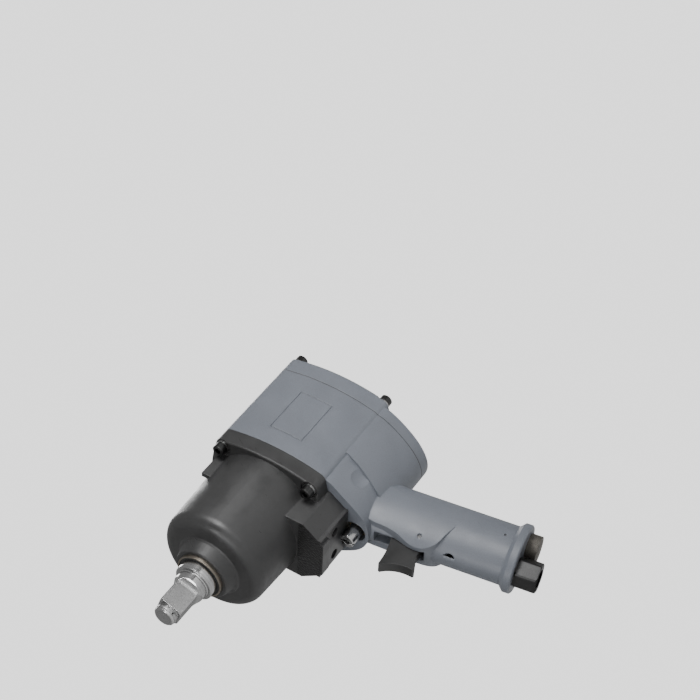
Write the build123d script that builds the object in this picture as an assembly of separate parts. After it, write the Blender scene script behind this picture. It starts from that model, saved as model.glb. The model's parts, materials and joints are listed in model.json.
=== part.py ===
"""Pistol-grip pneumatic impact wrench with a 3/4 inch square drive and a twin-hammer mechanism.

Millimetres. The working attitude is +Z up: the drive points to -Y, the handle hangs down to -Z and
+X is the tool's left side. The origin is on the drive axis, where the flats of the square end.
"""
from build123d import *
import math
import os

os.makedirs("parts", exist_ok=True)

# ---------------------------------------------------------------- driving dimensions
# Fits shared by every pair of pieces
RUNNING_GAP = 0.05      # radial clearance of a shaft that turns or slides in a hole
SEATED_GAP = 0.02       # radial clearance of a piece that is pushed into its seat
FREE_GAP = 0.3          # between moving pieces that never touch

# Square drive and anvil
SQUARE = 19.05
SQUARE_LENGTH = 19.7
PILOT_RADIUS = 8.6
PILOT_LENGTH = 6.0
RING_GROOVE_RADIUS = 6.9
RING_GROOVE_WIDTH = 2.3
SHANK_RADIUS = 13.0
SHANK_LENGTH = 12.0
FLAT_RUNOUT_RADIUS = 7.0
JOURNAL_RADIUS = 16.4
ANVIL_SHOULDER_RADIUS = 21.0
ANVIL_SHOULDER_WIDTH = 3.0
ANVIL_CORE_RADIUS = 13.0
ANVIL_JAW_RADIUS = 17.6
ANVIL_JAW_HALF_ANGLE = 14.0
ANVIL_JAW_ANGLE = 45.0
ANVIL_REST_TURN = 17.5

# Hammer case
NOSE_FRONT = 22.3
NOSE_RADIUS = 23.1
NOSE_ROOT = 31.5
NOSE_ROOT_RADIUS = 26.5
BUSHING_WALL = 3.2
BUSHING_FRONT = 19.6
BUSHING_REAR = 57.0
CASE_SHOULDER_RADIUS = 44.8
CASE_SHOULDER_BLEND = 10.0
CASE_REAR_RADIUS = 47.6
CASE_BORE_RADIUS = 40.6
FLANGE_FRONT = 108.5
FLANGE_REAR = 122.5
HOUSING_REAR = 201.0
BLOCK_FRONT = 83.5
BLOCK_HALF_WIDTH = 31.0
BLOCK_SHOULDER_Z = -51.0
BLOCK_FOOT_HALF_WIDTH = 21.0
BLOCK_FOOT_Z = -67.5
BLOCK_LIP_LENGTH = 10.0
BLOCK_LIP_HEIGHT = 2.0
SIDE_HANDLE_HOLE_RADIUS = 4.25
SIDE_HANDLE_HOLE_DEPTH = 16.0
SIDE_HANDLE_HOLE_SPACING = 26.0
SIDE_HANDLE_HOLE_Y = 104.0
TOP_RIB_X = (28.0, 32.0)
TOP_RIB_Z = 42.0

# Body outline shared by the case flange, the motor housing and the rear cover
BOLT_HALF_SPACING = 40.0
BODY_CORNER_RADIUS = 6.5
BODY_HALF_WIDTH = 51.5

# Screws: M6 socket heads on the case, and the same on the rear cover
SCREW_RADIUS = 3.0
SCREW_HEAD_RADIUS = 5.0
SCREW_HEAD_HEIGHT = 6.0
SCREW_HEX_FLATS = 5.0
SCREW_HEX_DEPTH = 3.2
WASHER_RADIUS = 5.2
WASHER_THICKNESS = 1.6
CASE_SCREW_SEAT = 110.0
CASE_SCREW_REACH = 32.0
COVER_SCREW_SEAT = HOUSING_REAR + 15.0
COVER_SCREW_REACH = 32.0
POCKET_RADIUS = 7.4

# Hammer mechanism
CAGE_RADIUS = 39.4
CAGE_FRONT = 62.5
CAGE_PLATE = 3.6
CAGE_REAR_PLATE = 5.0
CAGE_HUB_RADIUS = 13.0
CAGE_HUB_LENGTH = 6.0
CAGE_EYE_RADIUS = 18.4
CAGE_PILLAR_WALL = 2.0
CAGE_PILLAR_HALF_HEIGHT = 14.0
HAMMER_RADIUS = 33.5
HAMMER_WIDTH = 14.0
HAMMER_EYE_RADIUS = 20.6
HAMMER_PAWL_RADIUS = 18.1
HAMMER_PAWL_HALF_ANGLE = 18.0
HAMMER_PIN_RADIUS = 4.0
HAMMER_PIN_CIRCLE = 27.0
HAMMER_SWING_ROOM = 5.2
DRIVE_HEX_FLATS = 13.0

# Air motor
MOTOR_BORE_RADIUS = 38.0
END_PLATE_FRONT = 112.0
CYLINDER_FRONT = 126.0
CYLINDER_REAR = HOUSING_REAR - 11.0
CYLINDER_BORE_RADIUS = 27.6
CYLINDER_OFFSET = 3.7
ROTOR_RADIUS = 23.5
ROTOR_SHAFT_RADIUS = 7.5
ROTOR_END_GAP = 0.4
VANE_COUNT = 6
VANE_THICKNESS = 2.4
VANE_DEPTH = 12.5
BEARING_RADIUS = 16.0
BEARING_WIDTH = 9.0
BEARING_PITCH_RADIUS = 11.8
BEARING_BALL_RADIUS = 2.4
BEARING_BALL_COUNT = 9
CYLINDER_DOWEL_RADIUS = 2.0
DOWEL_CIRCLE = 33.5

# Motor housing, its neck and the rear cover
GASKET = 0.6
COVER_REAR = HOUSING_REAR + 17.6
COVER_FOOT_REAR = HOUSING_REAR + 10.5
COVER_CROWN_REAR = HOUSING_REAR + 21.4
COVER_CROWN_RADIUS = 35.0
COVER_CHAMFER = 3.0
COVER_CAVITY_RADIUS = 14.5
COVER_CAVITY_DEPTH = 4.0
NECK_TOP_Z = -43.0
NECK_FOOT_Z = -88.0
NECK_WIDE_Y = 150.0
RIDGE_Y = 150.0
RIDGE_Z = -67.0
RIDGE_LEAN = 10.0
SCALLOP_RADIUS = 20.0
SCALLOP_X = 48.5
SCALLOP_Y = 144.5
SCALLOP_Z = -73.0
SET_BACK_TOP_Z = -60.0
SET_BACK = 9.0
PLATE_LINE_Y = (139.0, 183.5)
PLATE_LINE_Z = (-13.2, 15.6)
PLATE_LINE_WIDTH = 0.7
PLATE_LINE_DEPTH = 0.4

# Handle: a leaning oval grip that stands on its foot
HANDLE_LEAN = 8.9
HANDLE_FOOT_Y = 169.5
HANDLE_FOOT_Z = -196.0
GRIP_HALF_WIDTH = 19.5
GRIP_HALF_DEPTH = 26.5
GRIP_HEIGHT = 120.0
FOOT_HALF_WIDTH = 23.5
FOOT_HALF_DEPTH = 30.5
FOOT_HEIGHT = 9.5
FOOT_CHAMFER = 3.5

# Air inlet and throttle, measured in the handle's own leaning frame
INLET_OFFSET = -12.0
INLET_HEX_FLATS = 22.0
INLET_HEX_LENGTH = 18.0
INLET_HEX_TURN = 7.2
INLET_THREAD_RADIUS = 7.35
INLET_THREAD_DEPTH = 15.0
INLET_STEM_RADIUS = 11.5
INLET_STEM_LENGTH = 20.0
INLET_PASSAGE_RADIUS = 6.0
VALVE_CHAMBER_RADIUS = 10.5
VALVE_SEAT_HEIGHT = 34.0
VALVE_SEAT_BORE = 6.5
VALVE_DISC_RADIUS = 8.6
VALVE_DISC_THICKNESS = 3.0
VALVE_STEM_RADIUS = 1.5
VALVE_STEM_TOP = 88.0
VALVE_SEAT_TOP = 38.0
VALVE_TIP_ROOM = 2.2
RISER_RADIUS = 4.6
RISER_SHIFT = 2.3
RISER_TOP = 116.0
INLET_RING_HEIGHT = 8.0
INLET_RING_WIDTH = 2.6
INLET_RING_DEPTH = 1.6
SCREEN_THICKNESS = 1.0
SCREEN_HOLE_RADIUS = 0.9
SPRING_RADIUS = 6.0
SPRING_WIRE_RADIUS = 0.55
SPRING_TURNS = 4

# Trigger and its plunger
TRIGGER_TRAVEL = 4.0
TRIGGER_HALF_WIDTH = 4.7
TRIGGER_REAR = 131.5
TRIGGER_TAIL_REAR = 138.4
TRIGGER_TAIL_Z = -119.8
TRIGGER_TAIL_FOOT_Z = -128.0
TRIGGER_PANEL_DEPTH = 1.2
PLUNGER_Z = -114.0
PLUNGER_RADIUS = 2.5
PLUNGER_FRONT = 120.0
PLUNGER_REAR = 142.4
PLUNGER_SLEEVE_RADIUS = 4.4
PLUNGER_SLEEVE_FRONT = 136.4
PLUNGER_SLEEVE_REAR = 142.0
STOP_PIN_RADIUS = 1.75
STOP_PIN_Y = 135.4
STOP_PIN_Z = -123.8
CHEEK_HALF_DEPTH = 33.8
STOP_PIN_HALF_LENGTH = 13.6
SLOT_HALF_WIDTH = 5.2
SLOT_TOP_Z = -89.0
SLOT_FOOT_Z = -131.6
SLOT_REAR = 142.7
SLOT_STEP_Z = -119.3
SLOT_UPPER_REAR = 137.2

# Reverse valve
REVERSE_Z = -74.4
REVERSE_TRAVEL = 9.0
REVERSE_ROD_RADIUS = 6.2
REVERSE_ROD_FRONT = 110.0
REVERSE_ROD_REAR = HOUSING_REAR + 6.5
REVERSE_LAND_RADIUS = 7.5
REVERSE_SLEEVE_RADIUS = 9.2
REVERSE_SLEEVE_FRONT = 129.0
REVERSE_SLEEVE_REAR = HOUSING_REAR - 2.0
REVERSE_BOSS_RADIUS = 12.5
REVERSE_BOSS_FRONT = 126.5
REVERSE_LIP = 6.0
REVERSE_LAND_WIDTH = 8.0
REVERSE_FLAT_DEPTH = 1.4
REVERSE_BALL_Y = 132.0
REVERSE_BALL_RADIUS = 1.8
REVERSE_BALL_ROOM = 4.0
REVERSE_PORT_Y = (148.0, 182.0)

# Exhaust
SILENCER_RADIUS = 11.5
SILENCER_OFFSET = 13.5
SILENCER_PROUD = 9.0
SILENCER_DEPTH = 22.0
SILENCER_BORE = 8.0
SILENCER_PIN_DEPTH = 2.0
SILENCER_PIN_HEIGHT = 16.3
SILENCER_PIN_RADIUS = 1.05
EXHAUST_RADIUS = 9.0
EXHAUST_TOP = 106.0
CHANNEL_RADIUS = 3.6
CHANNEL_SIDE = 12.8
CHANNEL_DEPTH = 8.5
CHANNEL_TOP = 165.0
OIL_PORT_SIDE = 0.0
OIL_PORT_HEIGHT = 51.0
OIL_PORT_TURN = 9.0
OIL_PORT_FACE = 25.2
OIL_PORT_RADIUS = 2.6


# ---------------------------------------------------------------- shape helpers
def along_y(radius, front, rear, x=0.0, z=0.0):
    """A round bar parallel to the drive axis, from y = front to y = rear."""
    bar = Rot(X=90) * Cylinder(radius, rear - front)
    return Pos(x, (front + rear) / 2, z) * bar


def tube_y(outer, inner, front, rear, x=0.0, z=0.0):
    """A round tube parallel to the drive axis."""
    return along_y(outer, front, rear, x, z) - along_y(inner, front - 1, rear + 1, x, z)


def along_x(radius, left, right, y, z):
    """A round bar across the tool, from x = left to x = right."""
    bar = Rot(Y=90) * Cylinder(radius, right - left)
    return Pos((left + right) / 2, y, z) * bar


def box_between(low, high):
    """A block between two opposite corners."""
    size = [high[i] - low[i] for i in range(3)]
    centre = [(high[i] + low[i]) / 2 for i in range(3)]
    return Pos(*centre) * Box(*size)


def section_at(y):
    """Plane across the drive axis, drawn with x to the left side and z up."""
    return Plane(origin=(0, y, 0), x_dir=(1, 0, 0), z_dir=(0, -1, 0))


def prism_y(outline, front, rear):
    """An outline across the drive axis, run from y = front to y = rear."""
    return extrude(section_at(rear) * outline, rear - front)


def prism_x(outline, half_width):
    """An outline drawn with y to the rear and z up, run across the tool to both sides."""
    side = Plane(origin=(-half_width, 0, 0), x_dir=(0, 1, 0), z_dir=(1, 0, 0))
    return extrude(side * outline, 2 * half_width)


def turned(profile):
    """A solid turned about the drive axis from a face drawn with x as the radius."""
    return revolve(profile, Axis.Y, 360)


def hex_y(flats, front, rear, turn=0.0, x=0.0, z=0.0):
    """A hexagonal bar parallel to the drive axis, given its width across flats."""
    outline = Rot(Z=turn) * RegularPolygon(flats / 2, 6, major_radius=False)
    return Pos(x, 0, z) * prism_y(outline, front, rear)


def at_corners(shape):
    """Copies of a piece modelled on the drive axis, moved to the four bolt corners."""
    copies = []
    for side in (1, -1):
        for height in (1, -1):
            copies.append(Pos(side * BOLT_HALF_SPACING, 0, height * BOLT_HALF_SPACING) * shape)
    return copies


def in_handle():
    """Location of the handle's own frame: origin at the middle of its foot, z up the grip."""
    lean = math.radians(HANDLE_LEAN)
    frame = Plane(
        origin=(0, HANDLE_FOOT_Y, HANDLE_FOOT_Z),
        x_dir=(1, 0, 0),
        z_dir=(0, -math.sin(lean), math.cos(lean)),
    )
    return Location(frame)


def handle_bar(radius, low, high, depth=0.0, width=0.0):
    """A round bar parallel to the grip, between two heights over its foot."""
    bar = Pos(width, depth, (low + high) / 2) * Cylinder(radius, high - low)
    return in_handle() * bar


def grip_y(height, depth):
    """The row y of a point given by its height and depth in the handle's frame."""
    lean = math.radians(HANDLE_LEAN)
    return HANDLE_FOOT_Y - height * math.sin(lean) + depth * math.cos(lean)


def body_outline():
    """A square with crowned sides and round corners, centred on the drive axis."""
    b = BOLT_HALF_SPACING
    reach = BODY_HALF_WIDTH - BODY_CORNER_RADIUS
    offset = (2 * b * b - reach * reach) / (2 * (reach - b))
    crown = BODY_HALF_WIDTH + offset
    tangent = math.atan2(b, b + offset)
    px = crown * math.cos(tangent) - offset
    pz = crown * math.sin(tangent)
    corner = b + BODY_CORNER_RADIUS / math.sqrt(2)
    w = BODY_HALF_WIDTH
    sides = [
        ThreePointArc((px, -pz), (w, 0), (px, pz)),
        ThreePointArc((px, pz), (corner, corner), (pz, px)),
        ThreePointArc((pz, px), (0, w), (-pz, px)),
        ThreePointArc((-pz, px), (-corner, corner), (-px, pz)),
        ThreePointArc((-px, pz), (-w, 0), (-px, -pz)),
        ThreePointArc((-px, -pz), (-corner, -corner), (-pz, -px)),
        ThreePointArc((-pz, -px), (0, -w), (pz, -px)),
        ThreePointArc((pz, -px), (corner, -corner), (px, -pz)),
    ]
    return make_face(sides)


def lobe_outline(points, foot_z):
    """The lower lobe under the barrel: a curve through points of its left side and its foot."""
    left = list(points)
    right = [(-x, z) for x, z in reversed(left)]
    top_x, top_z = left[0]
    edges = [
        Line((-top_x, -10), (top_x, -10)),
        Line((top_x, -10), (top_x, top_z)),
        Spline(left + [(0, foot_z)] + right, tangents=((0, -1), (0, 1))),
        Line((-top_x, top_z), (-top_x, -10)),
    ]
    return make_face(edges)


def rear_neck_outline():
    """The lobe's full section, which the rear cover shares."""
    return lobe_outline([(44.5, NECK_TOP_Z), (42.3, -52.0), (33.0, -67.0), (20.5, -80.0)], NECK_FOOT_Z)


def middle_neck_outline():
    """The lobe's section behind the drawn-in front, just inside the full one."""
    return lobe_outline([(43.0, NECK_TOP_Z), (39.5, -52.0), (32.0, -66.0), (19.5, -78.5)], NECK_FOOT_Z + 0.8)


def front_neck_outline():
    """The lobe's slim section at the hammer case."""
    return lobe_outline([(42.5, NECK_TOP_Z), (36.5, -56.5), (27.5, -68.5), (19.0, -79.0)], NECK_FOOT_Z + 1.4)


# ---------------------------------------------------------------- anvil and nose
def anvil_jaw(front, rear, angle):
    """A striking jaw on the anvil's core, a sector centred on the given angle."""
    half = math.radians(ANVIL_JAW_HALF_ANGLE)
    reach = ANVIL_JAW_RADIUS + 4
    wedge = Polygon(
        (0, 0),
        (reach * math.cos(half), reach * math.sin(half)),
        (reach * math.cos(half), -reach * math.sin(half)),
        align=None,
    )
    sector = prism_y(Rot(Z=angle) * wedge, front, rear)
    return along_y(ANVIL_JAW_RADIUS, front, rear) & sector


def hammer_station(number):
    """Front and rear of a hammer: 0 is the one nearer the nose."""
    first = CAGE_FRONT + CAGE_PLATE + FREE_GAP
    front = first + number * (HAMMER_WIDTH + FREE_GAP)
    return front, front + HAMMER_WIDTH


def make_anvil():
    """Square drive, round shank, journal, shoulder and the core with its two jaws."""
    tip = -SQUARE_LENGTH - PILOT_LENGTH
    core_rear = hammer_station(1)[1] - 1.0
    groove_front = tip + 1.9
    profile = Polyline(
        (0, tip),
        (PILOT_RADIUS - 0.9, tip),
        (PILOT_RADIUS, tip + 0.9),
        (PILOT_RADIUS, groove_front),
        (RING_GROOVE_RADIUS, groove_front),
        (RING_GROOVE_RADIUS, groove_front + RING_GROOVE_WIDTH),
        (PILOT_RADIUS, groove_front + RING_GROOVE_WIDTH),
        (PILOT_RADIUS, -SQUARE_LENGTH),
        (SHANK_RADIUS - 1.6, -SQUARE_LENGTH),
        (SHANK_RADIUS, -SQUARE_LENGTH + 1.4),
        (SHANK_RADIUS, SHANK_LENGTH - 0.5),
        (SHANK_RADIUS + 0.5, SHANK_LENGTH),
        (JOURNAL_RADIUS - 0.7, SHANK_LENGTH),
        (JOURNAL_RADIUS, SHANK_LENGTH + 0.7),
        (JOURNAL_RADIUS, BUSHING_REAR + 1.3),
        (ANVIL_SHOULDER_RADIUS, BUSHING_REAR + 1.3),
        (ANVIL_SHOULDER_RADIUS, BUSHING_REAR + 1.3 + ANVIL_SHOULDER_WIDTH),
        (ANVIL_CORE_RADIUS, BUSHING_REAR + 1.3 + ANVIL_SHOULDER_WIDTH),
        (ANVIL_CORE_RADIUS, core_rear),
        (0, core_rear),
        (0, tip),
    )
    body = turned(make_face(profile))
    half = SQUARE / 2
    reach = SHANK_RADIUS + 2
    flat = box_between((half, -SQUARE_LENGTH, -reach), (reach, 0, reach))
    runout_centre = (half + FLAT_RUNOUT_RADIUS, 0)
    runout = Pos(runout_centre[0], runout_centre[1], 0) * Cylinder(FLAT_RUNOUT_RADIUS, 2 * reach)
    for quarter in range(4):
        body = body - Rot(Y=90 * quarter) * (flat + runout)
    body = Rot(Y=ANVIL_REST_TURN) * body
    for number in (0, 1):
        front, rear = hammer_station(number)
        body = body + anvil_jaw(front + 1, rear - 1, ANVIL_JAW_ANGLE + 180 * number)
    return body


def make_socket_ring():
    """Split friction ring in the pilot's groove, which holds a socket on."""
    front = -SQUARE_LENGTH - PILOT_LENGTH + 2.0
    ring = tube_y(PILOT_RADIUS + 0.35, RING_GROOVE_RADIUS + 0.9, front, front + RING_GROOVE_WIDTH - 0.2)
    ring = fillet(ring.edges().filter_by(GeomType.CIRCLE).sort_by(SortBy.RADIUS)[-2:], 0.3)
    split = box_between((-0.6, front - 1, 0), (0.6, front + 4, PILOT_RADIUS + 2))
    return Rot(Y=ANVIL_REST_TURN + 120) * (ring - split)


def make_socket_o_ring():
    """Rubber ring under the friction ring."""
    front = -SQUARE_LENGTH - PILOT_LENGTH + 1.9
    return tube_y(RING_GROOVE_RADIUS + 0.85, RING_GROOVE_RADIUS, front + 0.3, front + RING_GROOVE_WIDTH - 0.3)


def bushing_radius():
    """Outside of the nose bushing."""
    return JOURNAL_RADIUS + RUNNING_GAP + BUSHING_WALL


def make_anvil_bushing():
    """Bronze sleeve that the anvil turns in, with a seal groove at its mouth."""
    sleeve = tube_y(bushing_radius(), JOURNAL_RADIUS + RUNNING_GAP, BUSHING_FRONT, BUSHING_REAR)
    groove = tube_y(bushing_radius() - 1.2, JOURNAL_RADIUS - 1, BUSHING_FRONT - 1, BUSHING_FRONT + 3.4)
    return sleeve - groove


def make_anvil_seal():
    """Rubber lip ring round the anvil, in the bushing's mouth."""
    outer = bushing_radius() - 1.2 - SEATED_GAP
    return tube_y(outer, JOURNAL_RADIUS + RUNNING_GAP, BUSHING_FRONT + 0.6, BUSHING_FRONT + 3.3)


def make_thrust_washer():
    """Flat ring between the bushing and the anvil's shoulder."""
    return tube_y(ANVIL_SHOULDER_RADIUS, JOURNAL_RADIUS + RUNNING_GAP, BUSHING_REAR + 0.1, BUSHING_REAR + 1.2)


# ---------------------------------------------------------------- hammer case
def case_body():
    """The turned bell of the case: nose, blended shoulder and cylinder, before its bores."""
    face = NOSE_ROOT + 1.2
    blend = CASE_SHOULDER_BLEND
    corner = CASE_SHOULDER_RADIUS - blend
    bend = blend * math.sin(math.radians(45))
    edges = [
        Line((0, NOSE_FRONT), (NOSE_RADIUS - 0.6, NOSE_FRONT)),
        Line((NOSE_RADIUS - 0.6, NOSE_FRONT), (NOSE_RADIUS, NOSE_FRONT + 0.6)),
        Line((NOSE_RADIUS, NOSE_FRONT + 0.6), (NOSE_ROOT_RADIUS, NOSE_ROOT)),
        Line((NOSE_ROOT_RADIUS, NOSE_ROOT), (NOSE_ROOT_RADIUS + 1.5, face)),
        Line((NOSE_ROOT_RADIUS + 1.5, face), (corner, face + 0.6)),
        ThreePointArc(
            (corner, face + 0.6),
            (corner + bend, face + 0.6 + blend - bend),
            (CASE_SHOULDER_RADIUS, face + 0.6 + blend),
        ),
        Line((CASE_SHOULDER_RADIUS, face + 0.6 + blend), (CASE_REAR_RADIUS, FLANGE_FRONT + 2)),
        Line((CASE_REAR_RADIUS, FLANGE_FRONT + 2), (0, FLANGE_FRONT + 2)),
        Line((0, FLANGE_FRONT + 2), (0, NOSE_FRONT)),
    ]
    return turned(make_face(edges))


def block_outline():
    """Section of the side-handle block under the case."""
    return Polygon(
        (-BLOCK_HALF_WIDTH, -20),
        (-BLOCK_HALF_WIDTH, BLOCK_SHOULDER_Z),
        (-BLOCK_FOOT_HALF_WIDTH, BLOCK_FOOT_Z + 3),
        (-BLOCK_FOOT_HALF_WIDTH, BLOCK_FOOT_Z),
        (BLOCK_FOOT_HALF_WIDTH, BLOCK_FOOT_Z),
        (BLOCK_FOOT_HALF_WIDTH, BLOCK_FOOT_Z + 3),
        (BLOCK_HALF_WIDTH, BLOCK_SHOULDER_Z),
        (BLOCK_HALF_WIDTH, -20),
        align=None,
    )


def make_hammer_case():
    """Bell-shaped case with the square rear flange, the side-handle block and the top pads."""
    flange = prism_y(body_outline(), FLANGE_FRONT, FLANGE_REAR)
    front_edges = flange.faces().sort_by(Axis.Y)[0].edges()
    flange = chamfer(front_edges, 0.8)
    block = prism_y(block_outline(), BLOCK_FRONT, FLANGE_REAR)
    low, high = TOP_RIB_X
    rib = box_between((low, BLOCK_FRONT, 10), (high, FLANGE_FRONT + 1, TOP_RIB_Z))
    lip = box_between(
        (-BLOCK_FOOT_HALF_WIDTH + 4, BLOCK_FRONT, BLOCK_FOOT_Z - BLOCK_LIP_HEIGHT),
        (BLOCK_FOOT_HALF_WIDTH - 4, BLOCK_FRONT + BLOCK_LIP_LENGTH, BLOCK_FOOT_Z + 1),
    )
    body = case_body() + flange + block + lip + rib + mirror(rib, Plane.YZ)
    seal_seat = along_y(bushing_radius() + SEATED_GAP, NOSE_FRONT - 1, BUSHING_REAR + 0.05)
    cavity = along_y(CASE_BORE_RADIUS, BUSHING_REAR + 0.05, END_PLATE_FRONT)
    cavity = chamfer(cavity.edges().filter_by(GeomType.CIRCLE).sort_by(Axis.Y)[0], 5.0)
    plate_seat = along_y(MOTOR_BORE_RADIUS, END_PLATE_FRONT - 1, FLANGE_REAR + 1)
    body = body - seal_seat - cavity - plate_seat
    room = along_y(POCKET_RADIUS, BLOCK_FRONT - 6, CASE_SCREW_SEAT)
    hole = along_y(SCREW_RADIUS + FREE_GAP, CASE_SCREW_SEAT - 1, FLANGE_REAR + 1)
    for cut in at_corners(room + hole):
        body = body - cut
    for side in (1, -1):
        hole = Pos(
            side * SIDE_HANDLE_HOLE_SPACING / 2,
            SIDE_HANDLE_HOLE_Y,
            BLOCK_FOOT_Z + SIDE_HANDLE_HOLE_DEPTH / 2 - 0.5,
        ) * Cylinder(SIDE_HANDLE_HOLE_RADIUS, SIDE_HANDLE_HOLE_DEPTH + 1)
        body = body - hole
    return body


def screw_along_y(seat, tip, direction):
    """A socket-head screw on the drive axis. direction is +1 where its head is at the front."""
    head_end = seat - direction * (SCREW_HEAD_HEIGHT + WASHER_THICKNESS)
    head_start = seat - direction * WASHER_THICKNESS
    low, high = min(head_end, head_start), max(head_end, head_start)
    head = along_y(SCREW_HEAD_RADIUS, low, high)
    head = chamfer(head.edges().filter_by(GeomType.CIRCLE), 0.5)
    shank = along_y(SCREW_RADIUS, min(head_start, tip), max(head_start, tip))
    socket_end = head_end + direction * SCREW_HEX_DEPTH
    low, high = min(head_end, socket_end), max(head_end, socket_end)
    socket = hex_y(SCREW_HEX_FLATS, low - 0.01, high)
    return head + shank - socket


def make_case_screws():
    """Four socket-head screws that hold the case, the end plate and the motor housing together."""
    screw = screw_along_y(CASE_SCREW_SEAT, CASE_SCREW_SEAT + CASE_SCREW_REACH, 1)
    return Compound(children=at_corners(screw))


def spring_washer(front, rear):
    """A split lock washer."""
    ring = tube_y(WASHER_RADIUS, SCREW_RADIUS + 0.2, front, rear)
    split = box_between((0, front - 1, -0.4), (WASHER_RADIUS + 1, rear + 1, 0.4))
    return ring - split


def make_case_spring_washers():
    """Lock washers under the case screws."""
    washer = spring_washer(CASE_SCREW_SEAT - WASHER_THICKNESS, CASE_SCREW_SEAT)
    return Compound(children=at_corners(washer))


# ---------------------------------------------------------------- hammer mechanism
def cage_rear():
    """Front face of the cage's rear plate."""
    return hammer_station(1)[1] + FREE_GAP


def make_hammer_cage():
    """Two plates joined by side pillars, carrying the hammer pins, with the drive hub behind."""
    rear = cage_rear()
    end = rear + CAGE_REAR_PLATE
    cage = tube_y(CAGE_RADIUS, CAGE_EYE_RADIUS, CAGE_FRONT, CAGE_FRONT + CAGE_PLATE)
    cage = cage + along_y(CAGE_RADIUS, rear, end) + along_y(CAGE_HUB_RADIUS, rear, end + CAGE_HUB_LENGTH)
    wall = tube_y(CAGE_RADIUS, CAGE_RADIUS - CAGE_PILLAR_WALL, CAGE_FRONT, end)
    height = CAGE_PILLAR_HALF_HEIGHT
    wall = wall & box_between((-60, CAGE_FRONT, -height), (60, end, height))
    cage = cage + wall
    cage = cage - hex_y(DRIVE_HEX_FLATS, rear - 1, end + CAGE_HUB_LENGTH + 1)
    for height in (1, -1):
        hole = along_y(HAMMER_PIN_RADIUS, CAGE_FRONT - 1, end + 1, z=height * HAMMER_PIN_CIRCLE)
        cage = cage - hole
    return cage


def make_hammer_pins():
    """The two pins that carry a hammer each and stop the other one."""
    end = cage_rear() + CAGE_REAR_PLATE
    radius = HAMMER_PIN_RADIUS - SEATED_GAP
    return Compound(
        children=[
            along_y(radius, CAGE_FRONT + 0.2, end - 0.2, z=HAMMER_PIN_CIRCLE),
            along_y(radius, CAGE_FRONT + 0.2, end - 0.2, z=-HAMMER_PIN_CIRCLE),
        ]
    )


def make_hammer(number):
    """A ring hammer: a pivot hole at one pin, a wide notch round the other and two inner pawls."""
    front, rear = hammer_station(number)
    up = 1 if number == 0 else -1
    ring = along_y(HAMMER_RADIUS, front, rear)
    eye = along_y(HAMMER_EYE_RADIUS, front - 1, rear + 1)
    half = math.radians(HAMMER_PAWL_HALF_ANGLE)
    reach = HAMMER_RADIUS
    bow_tie = []
    for side in (1, -1):
        wedge = Polygon(
            (0, 0),
            (side * reach * math.cos(half), reach * math.sin(half)),
            (side * reach * math.cos(half), -reach * math.sin(half)),
            align=None,
        )
        bow_tie.append(prism_y(wedge, front - 1, rear + 1))
    small_eye = along_y(HAMMER_PAWL_RADIUS, front - 1, rear + 1)
    eye = (eye - bow_tie[0] - bow_tie[1]) + small_eye
    pivot = along_y(HAMMER_PIN_RADIUS + RUNNING_GAP, front - 1, rear + 1, z=up * HAMMER_PIN_CIRCLE)
    notch_half = HAMMER_PIN_RADIUS + HAMMER_SWING_ROOM
    notch_top = -up * (HAMMER_PIN_CIRCLE - HAMMER_PIN_RADIUS - 0.9)
    notch_end = -up * (HAMMER_RADIUS + 4)
    notch = box_between(
        (-notch_half, front - 1, min(notch_top, notch_end)),
        (notch_half, rear + 1, max(notch_top, notch_end)),
    )
    return ring - eye - pivot - notch


# ---------------------------------------------------------------- air motor
def make_front_end_plate():
    """Plate between the hammer case and the cylinder, with the front bearing's seat."""
    plate = along_y(MOTOR_BORE_RADIUS - SEATED_GAP, END_PLATE_FRONT + 0.1, CYLINDER_FRONT - 0.05)
    seat_front = CYLINDER_FRONT - 3 - BEARING_WIDTH
    seat = along_y(BEARING_RADIUS + SEATED_GAP, END_PLATE_FRONT - 1, seat_front + BEARING_WIDTH)
    shaft = along_y(ROTOR_SHAFT_RADIUS + 1.5, END_PLATE_FRONT - 1, CYLINDER_FRONT + 1)
    dowel = along_y(
        CYLINDER_DOWEL_RADIUS + SEATED_GAP, CYLINDER_FRONT - 5, CYLINDER_FRONT + 1, z=-DOWEL_CIRCLE
    )
    return plate - seat - shaft - dowel


def bearing(front):
    """Outer race, inner race and balls of a ball bearing, as three shapes."""
    rear = front + BEARING_WIDTH
    middle = (front + rear) / 2
    groove = revolve(
        Pos(BEARING_PITCH_RADIUS, middle, 0) * Circle(BEARING_BALL_RADIUS + 0.12), Axis.Y, 360
    )
    outer = tube_y(BEARING_RADIUS, BEARING_PITCH_RADIUS + 1.5, front, rear) - groove
    inner = tube_y(BEARING_PITCH_RADIUS - 1.5, ROTOR_SHAFT_RADIUS + SEATED_GAP, front, rear) - groove
    balls = []
    for number in range(BEARING_BALL_COUNT):
        angle = 2 * math.pi * number / BEARING_BALL_COUNT
        x = BEARING_PITCH_RADIUS * math.cos(angle)
        z = BEARING_PITCH_RADIUS * math.sin(angle)
        balls.append(Pos(x, middle, z) * Sphere(BEARING_BALL_RADIUS))
    return outer, inner, Compound(children=balls)


def front_bearing_front():
    """Front face of the front bearing."""
    return CYLINDER_FRONT - 3 - BEARING_WIDTH


def rear_bearing_front():
    """Front face of the rear bearing."""
    return CYLINDER_REAR + 2


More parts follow.
